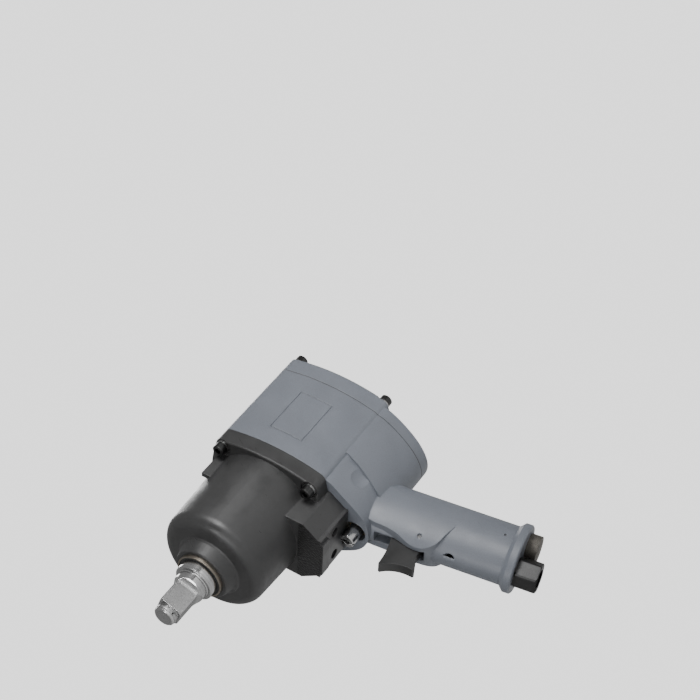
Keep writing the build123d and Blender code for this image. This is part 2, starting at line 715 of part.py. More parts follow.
def make_motor_cylinder():
    """Cylinder with the off-centre bore, its air ports and the dowel hole."""
    body = along_y(MOTOR_BORE_RADIUS - SEATED_GAP, CYLINDER_FRONT, CYLINDER_REAR)
    bore = along_y(CYLINDER_BORE_RADIUS, CYLINDER_FRONT - 1, CYLINDER_REAR + 1, z=CYLINDER_OFFSET)
    dowel = along_y(
        CYLINDER_DOWEL_RADIUS + SEATED_GAP, CYLINDER_FRONT - 1, CYLINDER_FRONT + 8, z=-DOWEL_CIRCLE
    )
    body = body - bore - dowel
    for row in range(5):
        y = CYLINDER_FRONT + 10 + 11 * row
        for angle in (-38, 38):
            port = Rot(Y=angle) * Pos(0, y, -30) * Cylinder(2.6, 24)
            body = body - port
    return body


def make_cylinder_dowel():
    """Pin that stops the cylinder turning in the housing."""
    return along_y(CYLINDER_DOWEL_RADIUS, CYLINDER_FRONT - 4.8, CYLINDER_FRONT + 7.8, z=-DOWEL_CIRCLE)


def vane_slots(extra):
    """Slots for the vanes, widened by extra on each side."""
    front = CYLINDER_FRONT + ROTOR_END_GAP
    rear = CYLINDER_REAR - ROTOR_END_GAP
    slots = []
    for number in range(VANE_COUNT):
        inner = ROTOR_RADIUS - VANE_DEPTH - extra
        slot = box_between(
            (inner, front - 1, -VANE_THICKNESS / 2 - extra),
            (ROTOR_RADIUS + 1, rear + 1, VANE_THICKNESS / 2 + extra),
        )
        slots.append(Rot(Y=360 * number / VANE_COUNT + 30) * slot)
    return slots


def make_rotor():
    """Slotted rotor on its shaft, with a hexagonal nose that drives the hammer cage."""
    front = CYLINDER_FRONT + ROTOR_END_GAP
    rear = CYLINDER_REAR - ROTOR_END_GAP
    body = along_y(ROTOR_RADIUS, front, rear)
    for slot in vane_slots(0.1):
        body = body - slot
    hub_front = cage_rear() + 1.0
    hub_rear = cage_rear() + CAGE_REAR_PLATE + CAGE_HUB_LENGTH
    shaft = along_y(ROTOR_SHAFT_RADIUS, hub_rear, rear_bearing_front() + BEARING_WIDTH + 1)
    nose = hex_y(DRIVE_HEX_FLATS - 2 * SEATED_GAP, hub_front, hub_rear + 0.5)
    nose = nose & along_y(ROTOR_SHAFT_RADIUS, hub_front, hub_rear + 0.5)
    return body + shaft + nose


def make_rotor_vanes():
    """Six flat vanes, lying in their slots."""
    front = CYLINDER_FRONT + ROTOR_END_GAP
    rear = CYLINDER_REAR - ROTOR_END_GAP
    vanes = []
    for number in range(VANE_COUNT):
        vane = box_between(
            (ROTOR_RADIUS - VANE_DEPTH + 0.4, front + 0.1, -VANE_THICKNESS / 2 + 0.02),
            (ROTOR_RADIUS - 0.15, rear - 0.1, VANE_THICKNESS / 2 - 0.02),
        )
        vanes.append(Rot(Y=360 * number / VANE_COUNT + 30) * vane)
    return Compound(children=vanes)


def make_rear_end_plate():
    """Plate behind the cylinder, with the rear bearing's seat."""
    plate = along_y(MOTOR_BORE_RADIUS - SEATED_GAP, CYLINDER_REAR + 0.05, HOUSING_REAR)
    seat = along_y(BEARING_RADIUS + SEATED_GAP, rear_bearing_front(), HOUSING_REAR + 1)
    shaft = along_y(ROTOR_SHAFT_RADIUS + 1.5, CYLINDER_REAR - 1, HOUSING_REAR + 1)
    return plate - seat - shaft


# ---------------------------------------------------------------- motor housing
def ahead_of_ridge():
    """Everything in front of the slanting ridge on the neck's sides."""
    block = box_between((-70, -80, -90), (70, 0, 90))
    return Pos(0, RIDGE_Y, RIDGE_Z) * Rot(X=-RIDGE_LEAN) * block


def make_neck():
    """Lower lobe: full behind the ridge, drawn in towards the hammer case in front of it."""
    full = prism_y(rear_neck_outline(), FLANGE_REAR + 4, HOUSING_REAR) - ahead_of_ridge()
    slim = section_at(FLANGE_REAR) * front_neck_outline()
    wide = section_at(NECK_WIDE_Y) * middle_neck_outline()
    drawn_in = loft([slim, wide])
    behind = prism_y(middle_neck_outline(), NECK_WIDE_Y, HOUSING_REAR)
    neck = drawn_in + behind
    for side in (1, -1):
        neck = neck - Pos(side * SCALLOP_X, SCALLOP_Y, SCALLOP_Z) * Sphere(SCALLOP_RADIUS)
    set_back = Polygon(
        (FLANGE_REAR - 2, SET_BACK_TOP_Z),
        (FLANGE_REAR, SET_BACK_TOP_Z),
        (FLANGE_REAR + SET_BACK, NECK_FOOT_Z - 2),
        (FLANGE_REAR - 2, NECK_FOOT_Z - 2),
        align=None,
    )
    return full + (neck - prism_x(set_back, CASE_REAR_RADIUS))


def cheek_outline():
    """Side view of the handle's swollen front, which holds the trigger."""
    front = [(128.6, -88.0), (129.6, -98.0), (129.2, -108.4), (127.9, -115.7), (127.7, -122.8)]
    nose = [(127.7, -122.8), (129.0, -129.0), (132.2, -134.6), (139.2, -139.5)]
    edges = [
        Line((128.6, -76.0), (128.6, -88.0)),
        Spline(front),
        Spline(nose),
        Line((139.2, -139.5), (156.0, -144.0)),
        Line((156.0, -144.0), (165.0, -76.0)),
        Line((165.0, -76.0), (128.6, -76.0)),
    ]
    return make_face(edges)


def make_cheeks():
    """The swollen front of the handle, with the handle's own oval carried forward."""
    oval = extrude(Ellipse(GRIP_HALF_WIDTH, CHEEK_HALF_DEPTH), GRIP_HEIGHT + 8)
    return prism_x(cheek_outline(), GRIP_HALF_WIDTH + 2) & (in_handle() * oval)


def plate_line():
    """Border of a blank name plate, engraved in the left side of the barrel."""
    y0, y1 = PLATE_LINE_Y
    z0, z1 = PLATE_LINE_Z
    w = PLATE_LINE_WIDTH / 2
    ring = box_between((40, y0 - w, z0 - w), (70, y1 + w, z1 + w))
    ring = ring - box_between((39, y0 + w, z0 + w), (71, y1 - w, z1 - w))
    outside = prism_y(body_outline(), y0 - 4, y1 + 4)
    return ring & (outside - Pos(-PLATE_LINE_DEPTH, 0, 0) * outside)


def grip():
    """The oval grip with its wider foot."""
    body = extrude(Ellipse(GRIP_HALF_WIDTH, GRIP_HALF_DEPTH), GRIP_HEIGHT)
    foot = extrude(Ellipse(FOOT_HALF_WIDTH, FOOT_HALF_DEPTH), FOOT_HEIGHT)
    foot = chamfer(foot.faces().sort_by(Axis.Z)[-1].edges(), FOOT_CHAMFER)
    foot = chamfer(foot.faces().sort_by(Axis.Z)[0].edges(), 1.0)
    return in_handle() * (body + foot)


def make_motor_housing():
    """Barrel, neck, handle and foot in one casting, with every bore and passage."""
    barrel = prism_y(body_outline(), FLANGE_REAR, HOUSING_REAR)
    boss = along_y(REVERSE_BOSS_RADIUS, REVERSE_BOSS_FRONT, NECK_WIDE_Y, z=REVERSE_Z)
    boss = chamfer(boss.faces().sort_by(Axis.Y)[0].edges(), 1.2)
    body = barrel + make_neck() + make_cheeks() + grip() + boss
    body = body - along_y(MOTOR_BORE_RADIUS, FLANGE_REAR - 1, HOUSING_REAR + 1)
    body = body - plate_line()
    body = body - trigger_room() - air_passages() - reverse_room()
    tapped = along_y(SCREW_RADIUS, FLANGE_REAR - 1, CASE_SCREW_SEAT + CASE_SCREW_REACH + 2)
    rear_tapped = along_y(SCREW_RADIUS, COVER_SCREW_SEAT - COVER_SCREW_REACH - 2, HOUSING_REAR + 1)
    for hole in at_corners(tapped) + at_corners(rear_tapped):
        body = body - hole
    return body


def slot_outline(margin):
    """Side view of the trigger's slot, drawn in by a margin."""
    return Polygon(
        (95, SLOT_FOOT_Z + margin),
        (SLOT_REAR - margin, SLOT_FOOT_Z + margin),
        (SLOT_REAR - margin, SLOT_STEP_Z - margin),
        (SLOT_UPPER_REAR - margin, SLOT_STEP_Z - margin),
        (SLOT_UPPER_REAR - margin, SLOT_TOP_Z - 8),
        (SLOT_UPPER_REAR - margin - 4, SLOT_TOP_Z - margin),
        (95, SLOT_TOP_Z - margin),
        align=None,
    )


def trigger_room():
    """Slot for the trigger, the plunger bush's seat and the stop pin's hole."""
    slot = prism_x(slot_outline(0.0), SLOT_HALF_WIDTH)
    sleeve = along_y(
        PLUNGER_SLEEVE_RADIUS + SEATED_GAP, SLOT_UPPER_REAR - 1, PLUNGER_SLEEVE_REAR + 3, z=PLUNGER_Z
    )
    reach = GRIP_HALF_WIDTH + 1
    pin = along_x(STOP_PIN_RADIUS + SEATED_GAP, -reach, reach, STOP_PIN_Y, STOP_PIN_Z)
    return slot + sleeve + pin


def air_passages():
    """Inlet bore, valve chamber and riser, and the exhaust with its two side channels."""
    stem = handle_bar(INLET_STEM_RADIUS + SEATED_GAP, -1, INLET_STEM_LENGTH + FREE_GAP, INLET_OFFSET)
    chamber = handle_bar(VALVE_CHAMBER_RADIUS, INLET_STEM_LENGTH, VALVE_SEAT_TOP, INLET_OFFSET)
    riser = handle_bar(RISER_RADIUS, VALVE_SEAT_TOP - 1, RISER_TOP, INLET_OFFSET + RISER_SHIFT)
    silencer = handle_bar(SILENCER_RADIUS + SEATED_GAP, -1, SILENCER_DEPTH + FREE_GAP, SILENCER_OFFSET)
    exhaust = handle_bar(EXHAUST_RADIUS, SILENCER_DEPTH, EXHAUST_TOP, SILENCER_OFFSET)
    room = stem + chamber + riser + silencer + exhaust
    cross_height = EXHAUST_TOP - CHANNEL_RADIUS - 1
    cross = Pos(0, CHANNEL_DEPTH, cross_height) * Rot(Y=90)
    room = room + in_handle() * cross * Cylinder(CHANNEL_RADIUS, 2 * CHANNEL_SIDE)
    for side in (1, -1):
        low = cross_height - 1
        room = room + handle_bar(CHANNEL_RADIUS, low, CHANNEL_TOP, CHANNEL_DEPTH, side * CHANNEL_SIDE)
    pin = in_handle() * Pos(0, SILENCER_PIN_DEPTH, SILENCER_PIN_HEIGHT) * Rot(Y=90)
    room = room + pin * Cylinder(SILENCER_PIN_RADIUS + SEATED_GAP, 2 * GRIP_HALF_WIDTH + 8)
    return room + oil_port_place() * oil_port_hole()


def oil_port_place():
    """Location on the front of the grip whose z points out of the oil port."""
    return in_handle() * Pos(OIL_PORT_SIDE, 0, OIL_PORT_HEIGHT) * Rot(Z=OIL_PORT_TURN) * Rot(X=90)


def oil_port_hole():
    """A blind hole with a countersunk mouth, its mouth at the grip's surface."""
    hole = Pos(0, 0, OIL_PORT_FACE - 3) * Cylinder(OIL_PORT_RADIUS, 6)
    mouth = Pos(0, 0, OIL_PORT_FACE - 0.5) * Cone(OIL_PORT_RADIUS, OIL_PORT_RADIUS + 2.5, 2.5)
    return hole + mouth


def make_oil_port_screw():
    """Socket set screw, sunk in the oil port."""
    screw = Cylinder(OIL_PORT_RADIUS - SEATED_GAP, 3.6)
    socket = extrude(RegularPolygon(1.25, 6, major_radius=False), 2.0)
    return oil_port_place() * Pos(0, 0, OIL_PORT_FACE - 4.1) * (screw - socket)


def reverse_room():
    """Cross bore of the reverse valve, the stop ball's hole and the ports up to the motor."""
    sleeve = REVERSE_SLEEVE_RADIUS + SEATED_GAP
    room = along_y(sleeve, FLANGE_REAR - 5, REVERSE_SLEEVE_REAR + 0.1, z=REVERSE_Z)
    room = room + along_y(REVERSE_ROD_RADIUS + 0.6, REVERSE_SLEEVE_REAR - 1, HOUSING_REAR + 1, z=REVERSE_Z)
    top = REVERSE_Z + REVERSE_SLEEVE_RADIUS + REVERSE_BALL_ROOM
    room = room + Pos(0, REVERSE_BALL_Y, (REVERSE_Z + top) / 2) * Cylinder(
        REVERSE_BALL_RADIUS + RUNNING_GAP, top - REVERSE_Z
    )
    for y in REVERSE_PORT_Y:
        room = room + Pos(0, y, -(MOTOR_BORE_RADIUS - REVERSE_Z) / 2) * Cylinder(3.5, 38)
    return room


def make_cover_gasket():
    """Thin gasket between the housing and the rear cover."""
    rear = HOUSING_REAR + GASKET
    sheet = prism_y(body_outline(), HOUSING_REAR, rear) + prism_y(rear_neck_outline(), HOUSING_REAR, rear)
    sheet = sheet - along_y(BEARING_RADIUS + 1, HOUSING_REAR - 1, rear + 1)
    sheet = sheet - along_y(REVERSE_ROD_RADIUS + 0.6, HOUSING_REAR - 1, rear + 1, z=REVERSE_Z)
    for hole in at_corners(along_y(SCREW_RADIUS + FREE_GAP, HOUSING_REAR - 1, rear + 1)):
        sheet = sheet - hole
    return sheet


def make_case_gasket():
    """Flat sealing ring in front of the front end plate."""
    return tube_y(MOTOR_BORE_RADIUS - 0.2, BEARING_RADIUS + 8, END_PLATE_FRONT - 0.7, END_PLATE_FRONT)


def make_rear_cover():
    """Cover of the barrel and the neck, with a raised crown and four screw pockets."""
    front = HOUSING_REAR + GASKET
    upper = prism_y(body_outline(), front, COVER_REAR)
    upper = chamfer(upper.faces().sort_by(Axis.Y)[-1].edges(), COVER_CHAMFER)
    lower = prism_y(rear_neck_outline(), front, COVER_FOOT_REAR)
    crown = along_y(COVER_CROWN_RADIUS, front, COVER_CROWN_REAR)
    crown = fillet(crown.faces().sort_by(Axis.Y)[-1].edges(), 3.0)
    body = upper + lower + crown
    body = body - along_y(COVER_CAVITY_RADIUS, front - 1, front + COVER_CAVITY_DEPTH)
    body = body - along_y(REVERSE_ROD_RADIUS + FREE_GAP, front - 1, COVER_FOOT_REAR + 1, z=REVERSE_Z)
    room = along_y(POCKET_RADIUS, COVER_SCREW_SEAT, COVER_CROWN_REAR + 6)
    hole = along_y(SCREW_RADIUS + FREE_GAP, front - 1, COVER_SCREW_SEAT + 1)
    for cut in at_corners(room + hole):
        body = body - cut
    return body


def make_cover_screws():
    """Four socket-head screws that hold the rear cover."""
    screw = screw_along_y(COVER_SCREW_SEAT, COVER_SCREW_SEAT - COVER_SCREW_REACH, -1)
    return Compound(children=at_corners(screw))


def make_cover_spring_washers():
    """Lock washers under the cover screws."""
    washer = spring_washer(COVER_SCREW_SEAT, COVER_SCREW_SEAT + WASHER_THICKNESS)
    return Compound(children=at_corners(washer))


# ---------------------------------------------------------------- trigger and throttle
def make_trigger():
    """Finger trigger: a hooked front face, a tail with the stop pin's slot and the plunger's hole."""
    edges = [
        Spline([(128.0, -103.2), (116.0, -106.2), (102.6, -107.4)]),
        Line((102.6, -107.4), (101.8, -109.0)),
        Spline([(101.8, -109.0), (106.6, -114.6), (109.9, -122.0), (111.0, -132.6)]),
        Line((111.0, -132.6), (112.4, -133.4)),
        Line((112.4, -133.4), (124.5, TRIGGER_TAIL_FOOT_Z)),
        Line((124.5, TRIGGER_TAIL_FOOT_Z), (TRIGGER_TAIL_REAR, TRIGGER_TAIL_FOOT_Z)),
        Line((TRIGGER_TAIL_REAR, TRIGGER_TAIL_FOOT_Z), (TRIGGER_TAIL_REAR, TRIGGER_TAIL_Z)),
        Line((TRIGGER_TAIL_REAR, TRIGGER_TAIL_Z), (TRIGGER_REAR, TRIGGER_TAIL_Z)),
        Line((TRIGGER_REAR, TRIGGER_TAIL_Z), (TRIGGER_REAR, -103.2)),
        Line((TRIGGER_REAR, -103.2), (128.0, -103.2)),
    ]
    body = prism_x(make_face(edges), TRIGGER_HALF_WIDTH)
    for side in (1, -1):
        panel = prism_x(trigger_panel_outline(), TRIGGER_PANEL_DEPTH / 2)
        body = body - Pos(side * TRIGGER_HALF_WIDTH, 0, 0) * panel
    slot_radius = STOP_PIN_RADIUS + RUNNING_GAP + 0.15
    reach = TRIGGER_HALF_WIDTH + 1
    front = STOP_PIN_Y - TRIGGER_TRAVEL
    body = body - along_x(slot_radius, -reach, reach, front, STOP_PIN_Z)
    body = body - along_x(slot_radius, -reach, reach, STOP_PIN_Y, STOP_PIN_Z)
    body = body - box_between(
        (-reach, front, STOP_PIN_Z - slot_radius), (reach, STOP_PIN_Y, STOP_PIN_Z + slot_radius)
    )
    return body - along_y(PLUNGER_RADIUS + SEATED_GAP, PLUNGER_FRONT - 0.1, TRIGGER_REAR + 1, z=PLUNGER_Z)


def trigger_panel_outline():
    """The sunk panel in each side of the trigger."""
    return Polygon(
        (108.6, -110.4),
        (122.5, -108.2),
        (120.6, -116.0),
        (119.4, -126.4),
        (114.0, -128.6),
        (113.0, -120.0),
        align=None,
    )


def make_trigger_plunger():
    """Steel rod behind the trigger that tips the throttle valve."""
    return along_y(PLUNGER_RADIUS, PLUNGER_FRONT, PLUNGER_REAR, z=PLUNGER_Z)


def make_plunger_bush():
    """Brass guide of the plunger, in the slot's rear wall."""
    inner = PLUNGER_RADIUS + RUNNING_GAP
    return tube_y(PLUNGER_SLEEVE_RADIUS, inner, PLUNGER_SLEEVE_FRONT, PLUNGER_SLEEVE_REAR, z=PLUNGER_Z)


def make_trigger_stop_pin():
    """Cross pin that keeps the trigger in its slot."""
    return along_x(STOP_PIN_RADIUS, -STOP_PIN_HALF_LENGTH, STOP_PIN_HALF_LENGTH, STOP_PIN_Y, STOP_PIN_Z)


def make_valve_seat():
    """Ring that the throttle valve closes against."""
    ring = handle_bar(
        VALVE_CHAMBER_RADIUS - SEATED_GAP, VALVE_SEAT_HEIGHT, VALVE_SEAT_TOP - 0.05, INLET_OFFSET
    )
    return ring - handle_bar(VALVE_SEAT_BORE, VALVE_SEAT_HEIGHT - 1, VALVE_SEAT_TOP + 1, INLET_OFFSET)


def make_throttle_valve():
    """Tip valve: a disc under the seat with a stem that reaches up to the plunger."""
    top = VALVE_SEAT_HEIGHT - FREE_GAP
    disc = handle_bar(VALVE_DISC_RADIUS, top - VALVE_DISC_THICKNESS, top, INLET_OFFSET)
    stem = handle_bar(VALVE_STEM_RADIUS, top - 1, VALVE_STEM_TOP, INLET_OFFSET)
    guide = handle_bar(SPRING_WIRE_RADIUS * 2 + 1.5, top - VALVE_DISC_THICKNESS - 2.0, top - 1, INLET_OFFSET)
    return disc + stem + guide


def make_throttle_spring():
    """Spring between the inlet screen and the throttle valve."""
    low = INLET_STEM_LENGTH + SCREEN_THICKNESS + SPRING_WIRE_RADIUS + 0.1
    high = VALVE_SEAT_HEIGHT - VALVE_DISC_THICKNESS - SPRING_WIRE_RADIUS - VALVE_TIP_ROOM
    helix = Helix(pitch=(high - low) / SPRING_TURNS, height=high - low, radius=SPRING_RADIUS)
    wire = Plane(origin=helix @ 0, z_dir=helix % 0) * Circle(SPRING_WIRE_RADIUS)
    return in_handle() * Pos(0, INLET_OFFSET, low) * sweep(wire, path=helix)


# ---------------------------------------------------------------- inlet and exhaust
def make_inlet_bushing():
    """Hexagonal air inlet with a tapped mouth, screwed into the handle's foot."""
    turn = Rot(Z=INLET_HEX_TURN)
    hexagon = extrude(turn * RegularPolygon(INLET_HEX_FLATS / 2, 6, major_radius=False), INLET_HEX_LENGTH)
    body = Pos(0, 0, -INLET_HEX_LENGTH - 0.1) * hexagon
    round_off = Pos(0, 0, -INLET_HEX_LENGTH / 2 - 0.1) * Cylinder(INLET_HEX_FLATS * 0.56, INLET_HEX_LENGTH)
    body = body & chamfer(round_off.edges().filter_by(GeomType.CIRCLE), 0.8)
    body = body + Pos(0, 0, INLET_STEM_LENGTH / 2) * Cylinder(INLET_STEM_RADIUS, INLET_STEM_LENGTH + 0.2)
    thread_top = INLET_THREAD_DEPTH - INLET_HEX_LENGTH - 0.1
    body = body - Pos(0, 0, (thread_top - 30) / 2) * Cylinder(INLET_THREAD_RADIUS, thread_top + 30)
    body = body - Cylinder(INLET_PASSAGE_RADIUS, 4 * INLET_STEM_LENGTH)
    groove = Cylinder(INLET_STEM_RADIUS + 1, INLET_RING_WIDTH) - Cylinder(
        INLET_STEM_RADIUS - INLET_RING_DEPTH, INLET_RING_WIDTH
    )
    body = body - Pos(0, 0, INLET_RING_HEIGHT) * groove
    return in_handle() * Pos(0, INLET_OFFSET, 0) * body


def make_inlet_o_ring():
    """Rubber ring in the groove of the inlet bushing."""
    outer = INLET_STEM_RADIUS
    inner = INLET_STEM_RADIUS - INLET_RING_DEPTH + SEATED_GAP
    half = INLET_RING_WIDTH / 2 - 0.1
    ring = handle_bar(outer, INLET_RING_HEIGHT - half, INLET_RING_HEIGHT + half, INLET_OFFSET)
    return ring - handle_bar(inner, INLET_RING_HEIGHT - 3, INLET_RING_HEIGHT + 3, INLET_OFFSET)


def make_inlet_screen():
    """Pierced disc over the inlet bushing that keeps grit out of the valve."""
    low = INLET_STEM_LENGTH + 0.12
    disc = handle_bar(VALVE_CHAMBER_RADIUS - 0.1, low, low + SCREEN_THICKNESS - 0.12, INLET_OFFSET)
    for ring, count in ((0.0, 1), (2.6, 6), (5.0, 12)):
        for number in range(count):
            angle = 2 * math.pi * number / count
            across = ring * math.cos(angle)
            depth = INLET_OFFSET + ring * math.sin(angle)
            disc = disc - handle_bar(SCREEN_HOLE_RADIUS, low - 1, low + 3, depth, across)
    return disc


def make_exhaust_silencer():
    """Cup of sintered metal that muffles the exhaust at the foot of the handle."""
    cup = handle_bar(SILENCER_RADIUS, -SILENCER_PROUD, SILENCER_DEPTH, SILENCER_OFFSET)
    cup = cup - handle_bar(SILENCER_BORE, -SILENCER_PROUD + 3, SILENCER_DEPTH + 1, SILENCER_OFFSET)
    low = SILENCER_PIN_HEIGHT - SILENCER_PIN_RADIUS - 0.15
    high = SILENCER_PIN_HEIGHT + SILENCER_PIN_RADIUS + 0.15
    waist = SILENCER_OFFSET - SILENCER_PIN_DEPTH - SILENCER_PIN_RADIUS - 0.1
    groove = handle_bar(SILENCER_RADIUS + 1, low, high, SILENCER_OFFSET)
    groove = groove - handle_bar(waist, low - 1, high + 1, SILENCER_OFFSET)
    return cup - groove


def make_silencer_pin():
    """Roll pin across the foot that locks the silencer."""
    place = in_handle() * Pos(0, SILENCER_PIN_DEPTH, SILENCER_PIN_HEIGHT) * Rot(Y=90)
    tube = Cylinder(SILENCER_PIN_RADIUS, 2 * GRIP_HALF_WIDTH - 2) - Cylinder(
        SILENCER_PIN_RADIUS - 0.45, 2 * GRIP_HALF_WIDTH
    )
    return place * tube


# ---------------------------------------------------------------- reverse valve
def make_reverse_sleeve():
    """Brass sleeve of the reverse valve, with a lip that guides the rod and ports to the motor."""
    sleeve = along_y(REVERSE_SLEEVE_RADIUS, REVERSE_SLEEVE_FRONT, REVERSE_SLEEVE_REAR, z=REVERSE_Z)
    sleeve = sleeve - along_y(
        REVERSE_ROD_RADIUS + RUNNING_GAP, REVERSE_SLEEVE_FRONT - 1, REVERSE_SLEEVE_REAR + 1, z=REVERSE_Z
    )
    lip_rear = REVERSE_SLEEVE_FRONT + REVERSE_LIP
    sleeve = sleeve - along_y(
        REVERSE_LAND_RADIUS + RUNNING_GAP, lip_rear, REVERSE_SLEEVE_REAR + 1, z=REVERSE_Z
    )
    hole_top = REVERSE_Z + REVERSE_SLEEVE_RADIUS + 1
    sleeve = sleeve - Pos(0, REVERSE_BALL_Y, (REVERSE_Z + hole_top) / 2) * Cylinder(
        REVERSE_BALL_RADIUS + RUNNING_GAP, hole_top - REVERSE_Z
    )
    for y in REVERSE_PORT_Y:
        sleeve = sleeve - Pos(0, y, REVERSE_Z + REVERSE_SLEEVE_RADIUS) * Cylinder(3.0, 8)
    riser_y = grip_y((REVERSE_Z - HANDLE_FOOT_Z), INLET_OFFSET + RISER_SHIFT)
    return sleeve - Pos(0, riser_y, REVERSE_Z - REVERSE_SLEEVE_RADIUS) * Cylinder(3.6, 8)


def land_fronts():
    """Front faces of the spool's three lands."""
    first = REVERSE_SLEEVE_FRONT + REVERSE_LIP + 1.5
    return [first, first + 22, first + 44]


def make_reverse_spool():
    """Reverse rod: a push button end in front, three lands in the sleeve and a plain rear end."""
    rod = along_y(REVERSE_ROD_RADIUS, REVERSE_ROD_FRONT, REVERSE_ROD_REAR, z=REVERSE_Z)
    rod = chamfer(rod.edges().filter_by(GeomType.CIRCLE), 0.6)
    for front in land_fronts():
        land = along_y(REVERSE_LAND_RADIUS, front, front + REVERSE_LAND_WIDTH, z=REVERSE_Z)
        middle = front + REVERSE_LAND_WIDTH / 2
        groove = tube_y(
            REVERSE_LAND_RADIUS + 1, REVERSE_LAND_RADIUS - 1.0, middle - 1.2, middle + 1.2, z=REVERSE_Z
        )
        rod = rod + (land - groove)
    flat_z = REVERSE_Z + REVERSE_ROD_RADIUS - REVERSE_FLAT_DEPTH
    flat_front = REVERSE_BALL_Y - REVERSE_TRAVEL - REVERSE_BALL_RADIUS - 0.2
    flat_rear = REVERSE_BALL_Y + REVERSE_BALL_RADIUS + 0.2
    flat = box_between((-8, flat_front, flat_z), (8, flat_rear, flat_z + 8))
    driver = box_between(
        (-0.7, REVERSE_ROD_FRONT - 1, REVERSE_Z - 8), (0.7, REVERSE_ROD_FRONT + 2.0, REVERSE_Z + 8)
    )
    recess = along_y(2.4, REVERSE_ROD_FRONT - 1, REVERSE_ROD_FRONT + 5, z=REVERSE_Z)
    return rod - flat - driver - recess


def make_spool_o_rings():
    """Rubber rings in the grooves of the spool's lands."""
    rings = []
    for front in land_fronts():
        middle = front + REVERSE_LAND_WIDTH / 2
        inner = REVERSE_LAND_RADIUS - 1.0 + SEATED_GAP
        rings.append(tube_y(REVERSE_LAND_RADIUS, inner, middle - 1.0, middle + 1.0, z=REVERSE_Z))
    return Compound(children=rings)


def make_reverse_ball():
    """Ball that rides in the rod's flat and stops it at both ends."""
    z = REVERSE_Z + REVERSE_ROD_RADIUS - REVERSE_FLAT_DEPTH + REVERSE_BALL_RADIUS + RUNNING_GAP
    return Pos(0, REVERSE_BALL_Y, z) * Sphere(REVERSE_BALL_RADIUS)


def make_reverse_ball_spring():
    """Small spring over the stop ball."""
    low = REVERSE_Z + REVERSE_ROD_RADIUS - REVERSE_FLAT_DEPTH + 2 * REVERSE_BALL_RADIUS + 0.5
    high = REVERSE_Z + REVERSE_SLEEVE_RADIUS + REVERSE_BALL_ROOM - 0.4
    helix = Helix(pitch=(high - low) / 5, height=high - low, radius=REVERSE_BALL_RADIUS - 0.45)
    wire = Plane(origin=helix @ 0, z_dir=helix % 0) * Circle(0.22)
    return Pos(0, REVERSE_BALL_Y, low) * sweep(wire, path=helix)


# ---------------------------------------------------------------- the parts
PIECES = {
    "anvil": make_anvil,
    "socket_ring": make_socket_ring,
    "socket_ring_cushion": make_socket_o_ring,
    "anvil_bushing": make_anvil_bushing,
    "anvil_seal": make_anvil_seal,
    "thrust_washer": make_thrust_washer,
    "hammer_case": make_hammer_case,
    "case_screws": make_case_screws,
    "case_spring_washers": make_case_spring_washers,
    "case_gasket": make_case_gasket,
    "hammer_cage": make_hammer_cage,
    "hammer_pins": make_hammer_pins,
    "hammer_front": lambda: make_hammer(0),
    "hammer_rear": lambda: make_hammer(1),
    "front_end_plate": make_front_end_plate,
    "front_bearing_outer_race": lambda: bearing(front_bearing_front())[0],
    "front_bearing_inner_race": lambda: bearing(front_bearing_front())[1],
    "front_bearing_balls": lambda: bearing(front_bearing_front())[2],
    "motor_cylinder": make_motor_cylinder,
    "cylinder_dowel": make_cylinder_dowel,
    "rotor": make_rotor,
    "rotor_vanes": make_rotor_vanes,
    "rear_end_plate": make_rear_end_plate,
    "rear_bearing_outer_race": lambda: bearing(rear_bearing_front())[0],
    "rear_bearing_inner_race": lambda: bearing(rear_bearing_front())[1],
    "rear_bearing_balls": lambda: bearing(rear_bearing_front())[2],
    "motor_housing": make_motor_housing,
    "cover_gasket": make_cover_gasket,
    "rear_cover": make_rear_cover,
    "cover_screws": make_cover_screws,
    "cover_spring_washers": make_cover_spring_washers,
    "trigger": make_trigger,
    "trigger_plunger": make_trigger_plunger,
    "plunger_bush": make_plunger_bush,
    "trigger_stop_pin": make_trigger_stop_pin,
    "valve_seat": make_valve_seat,
    "throttle_valve": make_throttle_valve,
    "throttle_spring": make_throttle_spring,
    "inlet_bushing": make_inlet_bushing,
    "inlet_o_ring": make_inlet_o_ring,
    "inlet_screen": make_inlet_screen,
    "oil_port_screw": make_oil_port_screw,
    "exhaust_silencer": make_exhaust_silencer,
    "silencer_pin": make_silencer_pin,
    "reverse_sleeve": make_reverse_sleeve,
    "reverse_spool": make_reverse_spool,
    "spool_o_rings": make_spool_o_rings,
    "reverse_ball": make_reverse_ball,
    "reverse_ball_spring": make_reverse_ball_spring,
}

for name, make in PIECES.items():
    piece = make()
    export_step(piece, f"parts/{name}.step")
    print(name, len(piece.solids()), flush=True)
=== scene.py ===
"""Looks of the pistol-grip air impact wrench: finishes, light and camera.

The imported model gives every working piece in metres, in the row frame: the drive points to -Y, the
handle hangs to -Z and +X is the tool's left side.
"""

import json
import logging
import math
from dataclasses import dataclass, field
from enum import Enum

import bmesh
import bpy
from mathutils import Matrix, Vector

